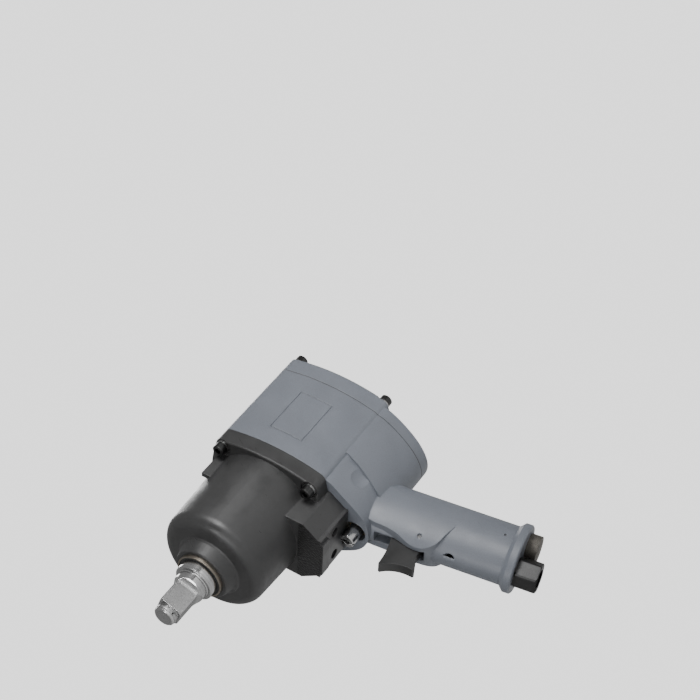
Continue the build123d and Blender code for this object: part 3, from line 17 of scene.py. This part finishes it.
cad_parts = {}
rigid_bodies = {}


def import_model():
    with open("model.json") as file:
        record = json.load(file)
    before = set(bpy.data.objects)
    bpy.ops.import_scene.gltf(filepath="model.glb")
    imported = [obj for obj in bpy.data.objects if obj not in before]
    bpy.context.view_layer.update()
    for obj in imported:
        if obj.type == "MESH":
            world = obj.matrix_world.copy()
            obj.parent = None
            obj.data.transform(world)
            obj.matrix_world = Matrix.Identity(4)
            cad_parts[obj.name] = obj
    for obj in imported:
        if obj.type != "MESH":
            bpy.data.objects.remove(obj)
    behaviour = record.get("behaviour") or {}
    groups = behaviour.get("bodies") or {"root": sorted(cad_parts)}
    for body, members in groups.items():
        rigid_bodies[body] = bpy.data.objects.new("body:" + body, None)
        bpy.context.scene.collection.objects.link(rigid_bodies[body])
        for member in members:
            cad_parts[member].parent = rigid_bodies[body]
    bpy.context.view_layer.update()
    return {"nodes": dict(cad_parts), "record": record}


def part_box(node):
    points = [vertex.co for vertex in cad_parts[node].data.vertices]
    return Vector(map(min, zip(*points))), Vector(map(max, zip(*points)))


LOG = logging.getLogger("impact_wrench")
MM = 0.001
Colour = tuple[float, float, float, float]
Socket = bpy.types.NodeSocket
Node = bpy.types.Node

# Texture frequencies, per metre
EDGE_RAG = 420.0
GRAIN_FINE = 2600.0
GRAIN_WAVES = 260.0
GRAIN_SLOW = 22.0
GRAIN_PITS = 900.0
TURNED_RINGS = 3800.0
GROUND_LINES = 420.0
SMUDGES = 46.0
SCRATCHES = 34.0
SCRATCH_PATCHES = 30.0
THREADS = 900.0
PAPER_TONE = 3.0

# Mix node inputs and output that hold colours or plain values
MIX_VALUE_A, MIX_VALUE_B = 2, 3
MIX_COLOUR_A, MIX_COLOUR_B = 6, 7
MIX_COLOUR_OUT = 2

FLOOR_HALF_SIZE = 60.0
FLOOR_GAP = 0.2 * MM


def grey(level: float, tint: tuple[float, float, float] = (1.0, 1.0, 1.0)) -> Colour:
    """A linear grey with a slight tint.

    Args:
        level: linear brightness.
        tint: multiplier of each channel.

    Returns:
        The colour with full alpha.
    """
    return (level * tint[0], level * tint[1], level * tint[2], 1.0)


class Lay(Enum):
    """Direction in which a metal surface was machined."""

    TURNED = "turned"
    GROUND = "ground"
    CAST = "cast"


class Graph:
    """Short-hand for building one node tree."""

    def __init__(self, tree: bpy.types.NodeTree) -> None:
        """Wraps a tree.

        Args:
            tree: the tree that receives the nodes.
        """
        self.tree = tree

    def add(self, kind: str, **settings: object) -> Node:
        """Adds a node.

        Args:
            kind: the node's type name.
            settings: attributes to set on it.

        Returns:
            The new node.
        """
        node = self.tree.nodes.new(kind)
        for name, value in settings.items():
            setattr(node, name, value)
        return node

    def put(self, target: Socket, value: object) -> None:
        """Links or sets an input.

        Args:
            target: the input socket.
            value: an output socket, or a constant.
        """
        if isinstance(value, Socket):
            self.tree.links.new(value, target)
        else:
            target.default_value = value

    def maths(self, operation: str, *values: object, clamp: bool = False) -> Socket:
        """Adds a maths node.

        Args:
            operation: Blender's name of the operation.
            values: up to three inputs, sockets or numbers.
            clamp: whether the result is kept between 0 and 1.

        Returns:
            The result.
        """
        node = self.add("ShaderNodeMath", operation=operation, use_clamp=clamp)
        for target, value in zip(node.inputs, values):
            self.put(target, value)
        return node.outputs[0]

    def mix(self, factor: object, first: object, second: object) -> Socket:
        """Mixes two colours.

        Args:
            factor: share of the second colour.
            first: colour at factor 0.
            second: colour at factor 1.

        Returns:
            The mixed colour.
        """
        node = self.add("ShaderNodeMix", data_type="RGBA")
        self.put(node.inputs["Factor"], factor)
        self.put(node.inputs[MIX_COLOUR_A], first)
        self.put(node.inputs[MIX_COLOUR_B], second)
        return node.outputs[MIX_COLOUR_OUT]

    def ramp(
        self, value: object, low: float, high: float, to_low: float = 0.0, to_high: float = 1.0
    ) -> Socket:
        """Maps a range to another, clamped.

        Args:
            value: what is mapped.
            low: lower end of the incoming range.
            high: upper end of the incoming range.
            to_low: result at the lower end.
            to_high: result at the upper end.

        Returns:
            The mapped value.
        """
        node = self.add("ShaderNodeMapRange", interpolation_type="SMOOTHSTEP")
        for target, number in zip(node.inputs, (value, low, high, to_low, to_high)):
            self.put(target, number)
        return node.outputs[0]

    def noise(self, vector: object, scale: object, detail: float = 3.0, rough: float = 0.55) -> Socket:
        """Adds a noise texture.

        Args:
            vector: where it is read.
            scale: its frequency, per metre.
            detail: number of octaves.
            rough: weight of the higher octaves.

        Returns:
            The noise, about 0 to 1.
        """
        node = self.add("ShaderNodeTexNoise")
        self.put(node.inputs["Vector"], vector)
        self.put(node.inputs["Scale"], scale)
        self.put(node.inputs["Detail"], detail)
        self.put(node.inputs["Roughness"], rough)
        return node.outputs["Fac"]


class EffectGroups:
    """The effects that several finishes share, each a node group made once."""

    def __init__(self) -> None:
        """Builds every group."""
        self.edges = self._edges()
        self.casting = self._casting()
        self.tooling = self._tooling()
        self.handling = self._handling()

    @staticmethod
    def _group(name: str, inputs: dict[str, tuple[str, object]], outputs: dict[str, str]) -> Graph:
        """Starts a group with its sockets.

        Args:
            name: the group's name.
            inputs: socket name to its type and default.
            outputs: socket name to its type.

        Returns:
            The graph of the group, with its input and output nodes added.
        """
        tree = bpy.data.node_groups.new(name, "ShaderNodeTree")
        for label, (kind, default) in inputs.items():
            socket = tree.interface.new_socket(label, in_out="INPUT", socket_type=kind)
            if default is not None:
                socket.default_value = default
        for label, kind in outputs.items():
            tree.interface.new_socket(label, in_out="OUTPUT", socket_type=kind)
        graph = Graph(tree)
        graph.source = graph.add("NodeGroupInput")
        graph.sink = graph.add("NodeGroupOutput")
        return graph

    def _edges(self) -> bpy.types.NodeTree:
        """Soft edges: a rounded normal, and a ragged mask where the surface turns sharply."""
        graph = self._group(
            "soft_edges",
            {"Vector": ("NodeSocketVector", None), "Radius": ("NodeSocketFloat", 0.0006)},
            {"Mask": "NodeSocketFloat", "Normal": "NodeSocketVector"},
        )
        bevel = graph.add("ShaderNodeBevel", samples=4)
        graph.put(bevel.inputs["Radius"], graph.source.outputs["Radius"])
        geometry = graph.add("ShaderNodeNewGeometry")
        dot = graph.add("ShaderNodeVectorMath", operation="DOT_PRODUCT")
        graph.put(dot.inputs[0], bevel.outputs[0])
        graph.put(dot.inputs[1], geometry.outputs["Normal"])
        turn = graph.maths("SUBTRACT", 1.0, dot.outputs["Value"])
        edge = graph.ramp(turn, 0.01, 0.12, 0.0, 1.0)
        ragged = graph.ramp(graph.noise(graph.source.outputs["Vector"], EDGE_RAG, 4.0), 0.38, 0.62)
        graph.put(graph.sink.inputs["Mask"], graph.maths("MULTIPLY", edge, ragged, clamp=True))
        graph.put(graph.sink.inputs["Normal"], bevel.outputs[0])
        return graph.tree

    def _casting(self) -> bpy.types.NodeTree:
        """Skin of a painted casting: fine grain, shallow waves and a slow change of tone."""
        graph = self._group(
            "casting_skin",
            {"Vector": ("NodeSocketVector", None), "Scale": ("NodeSocketFloat", 1.0)},
            dict.fromkeys(("Height", "Tone", "Pits", "Speckle"), "NodeSocketFloat"),
        )
        vector = graph.source.outputs["Vector"]
        scale = graph.source.outputs["Scale"]
        fine = graph.noise(vector, graph.maths("MULTIPLY", scale, GRAIN_FINE), 3.0, 0.6)
        waves = graph.noise(vector, graph.maths("MULTIPLY", scale, GRAIN_WAVES), 3.0, 0.5)
        slow = graph.noise(vector, graph.maths("MULTIPLY", scale, GRAIN_SLOW), 3.0, 0.5)
        cells = graph.add("ShaderNodeTexVoronoi", feature="F1")
        graph.put(cells.inputs["Vector"], vector)
        graph.put(cells.inputs["Scale"], graph.maths("MULTIPLY", scale, GRAIN_PITS))
        pits = graph.ramp(cells.outputs["Distance"], 0.08, 0.3, 1.0, 0.0)
        height = graph.maths("MULTIPLY_ADD", waves, 0.6, graph.maths("MULTIPLY", fine, 0.4))
        graph.put(graph.sink.inputs["Height"], height)
        graph.put(graph.sink.inputs["Tone"], graph.ramp(slow, 0.3, 0.7, 0.0, 1.0))
        graph.put(graph.sink.inputs["Pits"], pits)
        graph.put(graph.sink.inputs["Speckle"], graph.ramp(fine, 0.32, 0.68, 0.0, 1.0))
        return graph.tree

    def _tooling(self) -> bpy.types.NodeTree:
        """Machining marks: fine rings about the drive axis, or straight grinding lines."""
        graph = self._group(
            "tooling_marks",
            {"Vector": ("NodeSocketVector", None), "Rings": ("NodeSocketFloat", 1.0)},
            {"Height": "NodeSocketFloat", "Streak": "NodeSocketFloat"},
        )
        split = graph.add("ShaderNodeSeparateXYZ")
        graph.put(split.inputs[0], graph.source.outputs["Vector"])
        x, y, z = split.outputs
        squares = graph.maths("ADD", graph.maths("MULTIPLY", x, x), graph.maths("MULTIPLY", z, z))
        radius = graph.maths("SQRT", squares)
        rings = graph.add("ShaderNodeCombineXYZ")
        graph.put(rings.inputs[0], radius)
        graph.put(rings.inputs[1], y)
        turned = graph.noise(rings.outputs[0], TURNED_RINGS, 2.0, 0.6)
        lines = graph.add("ShaderNodeCombineXYZ")
        graph.put(lines.inputs[0], graph.maths("MULTIPLY", x, 9.0))
        graph.put(lines.inputs[1], graph.maths("MULTIPLY", y, 0.6))
        graph.put(lines.inputs[2], graph.maths("MULTIPLY", z, 9.0))
        ground = graph.noise(lines.outputs[0], GROUND_LINES, 3.0, 0.6)
        mixed = graph.add("ShaderNodeMix", data_type="FLOAT")
        graph.put(mixed.inputs["Factor"], graph.source.outputs["Rings"])
        graph.put(mixed.inputs[MIX_VALUE_A], ground)
        graph.put(mixed.inputs[MIX_VALUE_B], turned)
        graph.put(graph.sink.inputs["Height"], mixed.outputs[0])
        graph.put(graph.sink.inputs["Streak"], graph.ramp(mixed.outputs[0], 0.3, 0.7, 0.0, 1.0))
        return graph.tree

    def _handling(self) -> bpy.types.NodeTree:
        """Traces of use: soft smudges, dust in the pores and a few fine scratches."""
        graph = self._group(
            "handling_marks",
            {"Vector": ("NodeSocketVector", None)},
            {"Smudge": "NodeSocketFloat", "Scratch": "NodeSocketFloat"},
        )
        vector = graph.source.outputs["Vector"]
        smudge = graph.ramp(graph.noise(vector, SMUDGES, 5.0, 0.6), 0.35, 0.68)
        stretch = graph.add("ShaderNodeMapping", vector_type="TEXTURE")
        graph.put(stretch.inputs["Vector"], vector)
        stretch.inputs["Rotation"].default_value = (0.7, 0.4, 0.9)
        stretch.inputs["Scale"].default_value = (0.02, 1.0, 0.5)
        lines = graph.noise(stretch.outputs[0], SCRATCHES, 2.0, 0.5)
        patches = graph.ramp(graph.noise(vector, SCRATCH_PATCHES, 2.0), 0.5, 0.62)
        scratch = graph.maths("MULTIPLY", graph.ramp(lines, 0.66, 0.7, 0.0, 1.0), patches)
        graph.put(graph.sink.inputs["Smudge"], smudge)
        graph.put(graph.sink.inputs["Scratch"], scratch)
        return graph.tree


@dataclass(frozen=True)
class Finish:
    """What every finish shares."""

    slot: str
    base: Colour
    deep: Colour
    roughness: float
    roughness_spread: float = 0.08
    edge_radius: float = 0.0006

    @property
    def dull(self) -> float:
        """The roughest that the surface gets."""
        return self.roughness + self.roughness_spread

    @property
    def shiny(self) -> float:
        """The smoothest that the surface gets."""
        return self.roughness - self.roughness_spread

    def build(self, groups: EffectGroups) -> bpy.types.Material:
        """Makes the material.

        Args:
            groups: the shared effects.

        Returns:
            The material, named after its slot.
        """
        material = bpy.data.materials.new(f"finish_{self.slot}")
        material.use_nodes = True
        material.node_tree.nodes.clear()
        graph = Graph(material.node_tree)
        place = graph.add("ShaderNodeTexCoord").outputs["Object"]
        shader = graph.add("ShaderNodeBsdfPrincipled")
        output = graph.add("ShaderNodeOutputMaterial")
        graph.put(output.inputs["Surface"], shader.outputs[0])
        self.wire(graph, groups, place, shader)
        return material

    def wire(
        self,
        graph: Graph,
        groups: EffectGroups,
        place: Socket,
        shader: Node,
    ) -> None:
        """Adds what is particular to the finish.

        Args:
            graph: the material's graph.
            groups: the shared effects.
            place: the object coordinates.
            shader: the Principled shader.
        """
        raise NotImplementedError

    @staticmethod
    def effect(graph: Graph, tree: bpy.types.NodeTree, **values: object) -> Node:
        """Adds a shared effect.

        Args:
            graph: the material's graph.
            tree: the effect's group.
            values: its inputs, by name.

        Returns:
            The group's node.
        """
        node = graph.add("ShaderNodeGroup", node_tree=tree)
        for name, value in values.items():
            graph.put(node.inputs[name], value)
        return node

    @staticmethod
    def bump(
        graph: Graph,
        shader: Node,
        height: Socket,
        strength: float,
        depth: float,
        normal: Socket,
    ) -> None:
        """Adds a bump to the shader.

        Args:
            graph: the material's graph.
            shader: the Principled shader.
            height: the height map.
            strength: share of the bump that shows.
            depth: height of the map's full range, in metres.
            normal: the normal that it starts from.
        """
        node = graph.add("ShaderNodeBump")
        node.inputs["Strength"].default_value = strength
        node.inputs["Distance"].default_value = depth
        graph.put(node.inputs["Height"], height)
        graph.put(node.inputs["Normal"], normal)
        graph.put(shader.inputs["Normal"], node.outputs[0])


@dataclass(frozen=True)
class Coat(Finish):
    """Satin paint or coating over a casting."""

    grain: float = 1.0
    grain_depth: float = 0.00006
    wear: float = 0.35
    bare: Colour = (0.35, 0.35, 0.36, 1.0)
    clear: float = 0.0
    speckle: float = 0.5
    specular: float = 0.5

    def surface(
        self, graph: Graph, place: Socket, paint: Socket, height: Socket
    ) -> tuple[Socket, Socket]:
        """What a coat changes in one region; a plain coat changes nothing.

        Args:
            graph: the material's graph.
            place: the object coordinates.
            paint: the colour so far.
            height: the height map so far.

        Returns:
            The colour and the height map.
        """
        return paint, height

    def wire(self, graph: Graph, groups: EffectGroups, place: Socket, shader: Node) -> None:
        """Paint with casting grain, worn edges and smudges.

        Args:
            graph: the material's graph.
            groups: the shared effects.
            place: the object coordinates.
            shader: the Principled shader.
        """
        edge = self.effect(graph, groups.edges, Vector=place, Radius=self.edge_radius)
        skin = self.effect(graph, groups.casting, Vector=place, Scale=self.grain)
        marks = self.effect(graph, groups.handling, Vector=place)
        paint = graph.mix(skin.outputs["Tone"], self.base, self.deep)
        pale = tuple(min(1.0, channel * 1.3) for channel in self.base[:3]) + (1.0,)
        paint = graph.mix(graph.maths("MULTIPLY", skin.outputs["Speckle"], self.speckle), paint, pale)
        paint, height = self.surface(graph, place, paint, skin.outputs["Height"])
        dirt = graph.maths("MULTIPLY", skin.outputs["Pits"], 0.25)
        dusty = graph.mix(dirt, paint, grey(self.deep[0] * 0.55))
        worn = graph.maths("MULTIPLY", edge.outputs["Mask"], self.wear, clamp=True)
        graph.put(shader.inputs["Base Color"], graph.mix(worn, dusty, self.bare))
        spread = graph.ramp(marks.outputs["Smudge"], 0.0, 1.0, self.dull, self.shiny)
        scratched = graph.maths("MULTIPLY", marks.outputs["Scratch"], 0.12)
        graph.put(shader.inputs["Roughness"], graph.maths("SUBTRACT", spread, scratched, clamp=True))
        shader.inputs["Metallic"].default_value = 0.0
        shader.inputs["Specular IOR Level"].default_value = self.specular
        shader.inputs["Coat Weight"].default_value = self.clear
        shader.inputs["Coat Roughness"].default_value = 0.25
        self.bump(graph, shader, height, 0.55, self.grain_depth, edge.outputs["Normal"])


@dataclass(frozen=True)
class PebbledCoat(Coat):
    """A coat whose block has a coarse, pebbled face towards the drive, painted darker there as painted shade.
    """

    face_y: float = 83.8 * MM
    face_top: float = -47.0 * MM
    pebble_scale: float = 620.0
    # painted shade: the near-black colour given to the block's face towards the drive
    face_painted_shade: Colour = (0.008, 0.008, 0.008, 1.0)

    def surface(
        self, graph: Graph, place: Socket, paint: Socket, height: Socket
    ) -> tuple[Socket, Socket]:
        """Pebbles on the block's face, which is also painted darker as painted shade.

        Args:
            graph: the material's graph.
            place: the object coordinates.
            paint: the colour so far.
            height: the height map so far.

        Returns:
            The colour and the height map.
        """
        split = graph.add("ShaderNodeSeparateXYZ")
        graph.put(split.inputs[0], place)
        ahead = graph.maths("LESS_THAN", split.outputs[1], self.face_y)
        below = graph.maths("LESS_THAN", split.outputs[2], self.face_top)
        face = graph.maths("MULTIPLY", ahead, below)
        cells = graph.add("ShaderNodeTexVoronoi", feature="SMOOTH_F1")
        graph.put(cells.inputs["Vector"], place)
        cells.inputs["Scale"].default_value = self.pebble_scale
        pebbles = graph.maths("MULTIPLY", graph.ramp(cells.outputs["Distance"], 0.0, 0.7, 9.0, 0.0), face)
        # the face gets the near-black colour as painted shade; the pebbles are a bump
        return graph.mix(face, paint, self.face_painted_shade), graph.maths("ADD", height, pebbles)


@dataclass(frozen=True)
class Metal(Finish):
    """Bare or plated metal with machining marks."""

    lay: Lay = Lay.TURNED
    marks_depth: float = 0.00001
    stain: float = 0.25

    def wire(self, graph: Graph, groups: EffectGroups, place: Socket, shader: Node) -> None:
        """Metal with tool marks, stains and bright edges.

        Args:
            graph: the material's graph.
            groups: the shared effects.
            place: the object coordinates.
            shader: the Principled shader.
        """
        edge = self.effect(graph, groups.edges, Vector=place, Radius=self.edge_radius)
        tool = self.effect(graph, groups.tooling, Vector=place, Rings=1.0 if self.lay is Lay.TURNED else 0.0)
        marks = self.effect(graph, groups.handling, Vector=place)
        tone = graph.mix(tool.outputs["Streak"], self.base, self.deep)
        stained = graph.mix(graph.maths("MULTIPLY", marks.outputs["Smudge"], self.stain), tone, self.deep)
        bright = tuple(min(1.0, c * 1.35) for c in self.base[:3]) + (1.0,)
        rubbed = graph.maths("MULTIPLY", edge.outputs["Mask"], 0.6)
        graph.put(shader.inputs["Base Color"], graph.mix(rubbed, stained, bright))
        spread = graph.ramp(tool.outputs["Streak"], 0.0, 1.0, self.shiny, self.dull)
        smudge = marks.outputs["Smudge"]
        rough = graph.maths("MULTIPLY_ADD", smudge, self.roughness_spread, spread, clamp=True)
        graph.put(shader.inputs["Roughness"], rough)
        shader.inputs["Metallic"].default_value = 1.0
        if self.lay is Lay.CAST:
            skin = self.effect(graph, groups.casting, Vector=place, Scale=1.0)
            height = graph.maths("SUBTRACT", skin.outputs["Height"], skin.outputs["Pits"])
        else:
            height = tool.outputs["Height"]
        self.bump(graph, shader, height, 0.5, self.marks_depth, edge.outputs["Normal"])


@dataclass(frozen=True)
class Soft(Finish):
    """Rubber, fibre sheet or laminate."""

    grain: float = 1.0
    weave: float = 0.0

    def wire(self, graph: Graph, groups: EffectGroups, place: Socket, shader: Node) -> None:
        """A dull surface with fine grain, and threads where it is a laminate.

        Args:
            graph: the material's graph.
            groups: the shared effects.
            place: the object coordinates.
            shader: the Principled shader.
        """
        edge = self.effect(graph, groups.edges, Vector=place, Radius=self.edge_radius)
        skin = self.effect(graph, groups.casting, Vector=place, Scale=self.grain)
        marks = self.effect(graph, groups.handling, Vector=place)
        tone = graph.mix(skin.outputs["Tone"], self.base, self.deep)
        wave = graph.add("ShaderNodeTexWave")
        graph.put(wave.inputs["Vector"], place)
        wave.inputs["Scale"].default_value = THREADS
        wave.inputs["Distortion"].default_value = 2.0
        threads = graph.maths("MULTIPLY", wave.outputs["Fac"], self.weave)
        graph.put(shader.inputs["Base Color"], graph.mix(threads, tone, self.deep))
        spread = graph.ramp(marks.outputs["Smudge"], 0.0, 1.0, self.dull, self.shiny)
        graph.put(shader.inputs["Roughness"], spread)
        self.bump(graph, shader, skin.outputs["Height"], 0.6, 0.00005, edge.outputs["Normal"])


BLUE_GREY = (0.92, 1.0, 1.15)

FINISHES: tuple[Finish, ...] = (
    Coat("housing_paint", grey(0.134, BLUE_GREY), grey(0.112, BLUE_GREY), 0.42, 0.05, 0.0011,
         grain=1.0, grain_depth=0.00007, wear=0.16, bare=grey(0.27, BLUE_GREY), speckle=0.55, specular=0.45),
    PebbledCoat("case_coat", grey(0.026, (1.0, 1.0, 1.01)), grey(0.018), 0.4, 0.06, 0.0009,
                grain=1.0, grain_depth=0.00008, wear=0.25, bare=grey(0.09), speckle=0.6, specular=0.5),
    Coat("trigger_coat", grey(0.02), grey(0.012), 0.34, 0.06, 0.0006,
         grain=1.6, grain_depth=0.00003, wear=0.35, bare=grey(0.12)),
    Metal("chromed_steel", grey(0.6), grey(0.34), 0.19, 0.05, 0.0004,
          lay=Lay.TURNED, marks_depth=0.000012, stain=0.3),
    Metal("bronze", (0.34, 0.3, 0.25, 1.0), (0.2, 0.18, 0.155, 1.0), 0.35, 0.06, 0.0003, lay=Lay.TURNED),
    Metal("brass", (0.78, 0.66, 0.4, 1.0), (0.6, 0.48, 0.26, 1.0), 0.26, 0.05, 0.0003, lay=Lay.TURNED),
    Metal("black_screw", grey(0.075), grey(0.04), 0.34, 0.06, 0.0004, lay=Lay.GROUND),
    Metal("spring_steel", grey(0.5), grey(0.34), 0.3, 0.06, 0.0002, lay=Lay.GROUND),
    Metal("hardened_steel", grey(0.36), grey(0.26), 0.32, 0.06, 0.0003, lay=Lay.GROUND),
    Metal("cast_plate", grey(0.24), grey(0.17), 0.48, 0.06, 0.0004, lay=Lay.CAST, marks_depth=0.00005),
    Metal("bearing_steel", grey(0.68), grey(0.56), 0.14, 0.03, 0.0003, lay=Lay.TURNED, marks_depth=0.000004),
    Metal("inlet_steel", grey(0.075), grey(0.045), 0.36, 0.08, 0.0005,
          lay=Lay.GROUND, marks_depth=0.00002, stain=0.4),
    Metal("sintered_metal", (0.2, 0.185, 0.165, 1.0), (0.1, 0.095, 0.085, 1.0), 0.6, 0.1, 0.0006,
          lay=Lay.CAST, marks_depth=0.0005, stain=0.5),
    Soft("black_rubber", grey(0.022), grey(0.014), 0.62, 0.08, 0.0003, grain=1.5),
    Soft("gasket_sheet", grey(0.07), grey(0.045), 0.8, 0.06, 0.0001, grain=2.0),
    Soft("vane_laminate", (0.2, 0.11, 0.05, 1.0), (0.12, 0.06, 0.03, 1.0), 0.6, 0.06, 0.0002,
         grain=1.5, weave=0.6),
)


class Finishes:
    """Every finish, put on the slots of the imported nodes."""

    def __init__(self) -> None:
        """Builds the shared effects and the materials."""
        groups = EffectGroups()
        self.by_slot = {finish.slot: finish.build(groups) for finish in FINISHES}

    def dress(self, nodes: dict[str, bpy.types.Object], record: dict) -> None:
        """Puts each slot's finish on its nodes.

        Args:
            nodes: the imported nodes, by name.
            record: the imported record.
        """
        for part in record["subparts"]:
            node = nodes[part["node"]]
            for number in range(len(node.material_slots)):
                node.material_slots[number].material = self.by_slot[part["material_slot"]]


@dataclass(frozen=True)
class CameraView:
    """The studio camera: ahead of the tool's left side and low, with the drive to the lower left."""

    place: Vector = field(default_factory=lambda: Vector((1060.7, -649.9, -506.8)) * MM)
    right: Vector = field(default_factory=lambda: Vector((0.03571, 0.52873, -0.84804)))
    up: Vector = field(default_factory=lambda: Vector((0.71427, 0.57999, 0.39169)))
    lens: float = 91.34

    def build(self) -> bpy.types.Object:
        """Makes the scene's camera.

        Returns:
            The camera.
        """
        data = bpy.data.cameras.new("studio_camera")
        data.lens = self.lens
        data.sensor_width = 36.0
        data.clip_start = 0.05
        camera = bpy.data.objects.new("studio_camera", data)
        bpy.context.collection.objects.link(camera)
        right = self.right.normalized()
        back = right.cross(self.up).normalized()
        up = back.cross(right)
        camera.matrix_world = Matrix.Translation(self.place) @ Matrix((right, up, back)).transposed().to_4x4()
        bpy.context.scene.camera = camera
        return camera


@dataclass(frozen=True)
class Lamp:
    """One soft light."""

    name: str
    place: tuple[float, float, float]
    size: float
    power: float
    aim: tuple[float, float, float] = (0.0, 0.1, -0.05)

    def build(self) -> bpy.types.Object:
        """Makes the light, aimed at the object.

        Returns:
            The light.
        """
        data = bpy.data.lights.new(self.name, "AREA")
        data.shape = "DISK"
        data.size = self.size
        data.energy = self.power
        lamp = bpy.data.objects.new(self.name, data)
        bpy.context.collection.objects.link(lamp)
        lamp.location = self.place
        direction = Vector(self.aim) - Vector(self.place)
        lamp.rotation_euler = direction.to_track_quat("-Z", "Y").to_euler()
        return lamp


class Studio:
    """Pale floor, soft light and a plain world."""

    LAMPS = (
        Lamp("key_light", (1.15, 0.1, 0.3), 0.6, 15.0),
        Lamp("front_light", (0.35, -1.15, 0.1), 0.5, 6.0),
        Lamp("rim_light", (-0.7, 0.9, 0.9), 0.7, 8.0),
        Lamp("low_fill", (0.75, 0.75, -0.75), 0.8, 6.0),
    )

    def build(self) -> None:
        """Makes the world, the lamps, the floor and the camera."""
        self._world()
        for lamp in self.LAMPS:
            lamp.build()
        self._floor()
        CameraView().build()

    @staticmethod
    def _world() -> None:
        """A pale world, a little darker towards its lower half."""
        world = bpy.data.worlds.new("studio_world")
        bpy.context.scene.world = world
        world.use_nodes = True
        world.node_tree.nodes.clear()
        graph = Graph(world.node_tree)
        split = graph.add("ShaderNodeSeparateXYZ")
        graph.put(split.inputs[0], graph.add("ShaderNodeTexCoord").outputs["Generated"])
        height = graph.ramp(split.outputs[2], -0.6, 0.7, 0.0, 1.0)
        background = graph.add("ShaderNodeBackground")
        graph.put(background.inputs["Color"], graph.mix(height, grey(0.3), grey(0.82)))
        background.inputs["Strength"].default_value = 0.42
        backdrop = graph.add("ShaderNodeBackground")
        backdrop.inputs["Color"].default_value = grey(0.95)
        backdrop.inputs["Strength"].default_value = 1.9
        seen = graph.add("ShaderNodeMixShader")
        graph.put(seen.inputs[0], graph.add("ShaderNodeLightPath").outputs["Is Camera Ray"])
        graph.put(seen.inputs[1], background.outputs[0])
        graph.put(seen.inputs[2], backdrop.outputs[0])
        graph.put(graph.add("ShaderNodeOutputWorld").inputs["Surface"], seen.outputs[0])

    @staticmethod
    def _floor() -> None:
        """A pale floor under the handle, which is clear from below."""
        low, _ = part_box("inlet_bushing")
        mesh = bpy.data.meshes.new("floor")
        shape = bmesh.new()
        bmesh.ops.create_grid(shape, x_segments=1, y_segments=1, size=FLOOR_HALF_SIZE)
        bmesh.ops.translate(shape, verts=shape.verts, vec=(0.0, 0.1, low.z - FLOOR_GAP))
        shape.to_mesh(mesh)
        shape.free()
        floor = bpy.data.objects.new("floor", mesh)
        bpy.context.collection.objects.link(floor)
        material = bpy.data.materials.new("floor_paper")
        material.use_nodes = True
        material.node_tree.nodes.clear()
        graph = Graph(material.node_tree)
        place = graph.add("ShaderNodeTexCoord").outputs["Object"]
        shader = graph.add("ShaderNodeBsdfPrincipled")
        tone = graph.ramp(graph.noise(place, PAPER_TONE, 2.0), 0.3, 0.7)
        graph.put(shader.inputs["Base Color"], graph.mix(tone, grey(0.8), grey(0.84)))
        shader.inputs["Roughness"].default_value = 0.7
        clear = graph.add("ShaderNodeBsdfTransparent")
        choose = graph.add("ShaderNodeMixShader")
        graph.put(choose.inputs[0], graph.add("ShaderNodeNewGeometry").outputs["Backfacing"])
        graph.put(choose.inputs[1], shader.outputs[0])
        graph.put(choose.inputs[2], clear.outputs[0])
        graph.put(graph.add("ShaderNodeOutputMaterial").inputs["Surface"], choose.outputs[0])
        mesh.materials.append(material)


def main() -> None:
    """Builds the whole scene in order."""
    logging.basicConfig(level=logging.INFO, format="%(name)s: %(message)s")
    for thing in list(bpy.data.objects):
        bpy.data.objects.remove(thing, do_unlink=True)
    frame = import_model()
    finishes = Finishes()
    finishes.dress(frame["nodes"], frame["record"])
    LOG.info("finishes on %d nodes", len(frame["nodes"]))
    Studio().build()
    LOG.info("scene ready")


if __name__ == "__main__":
    main()
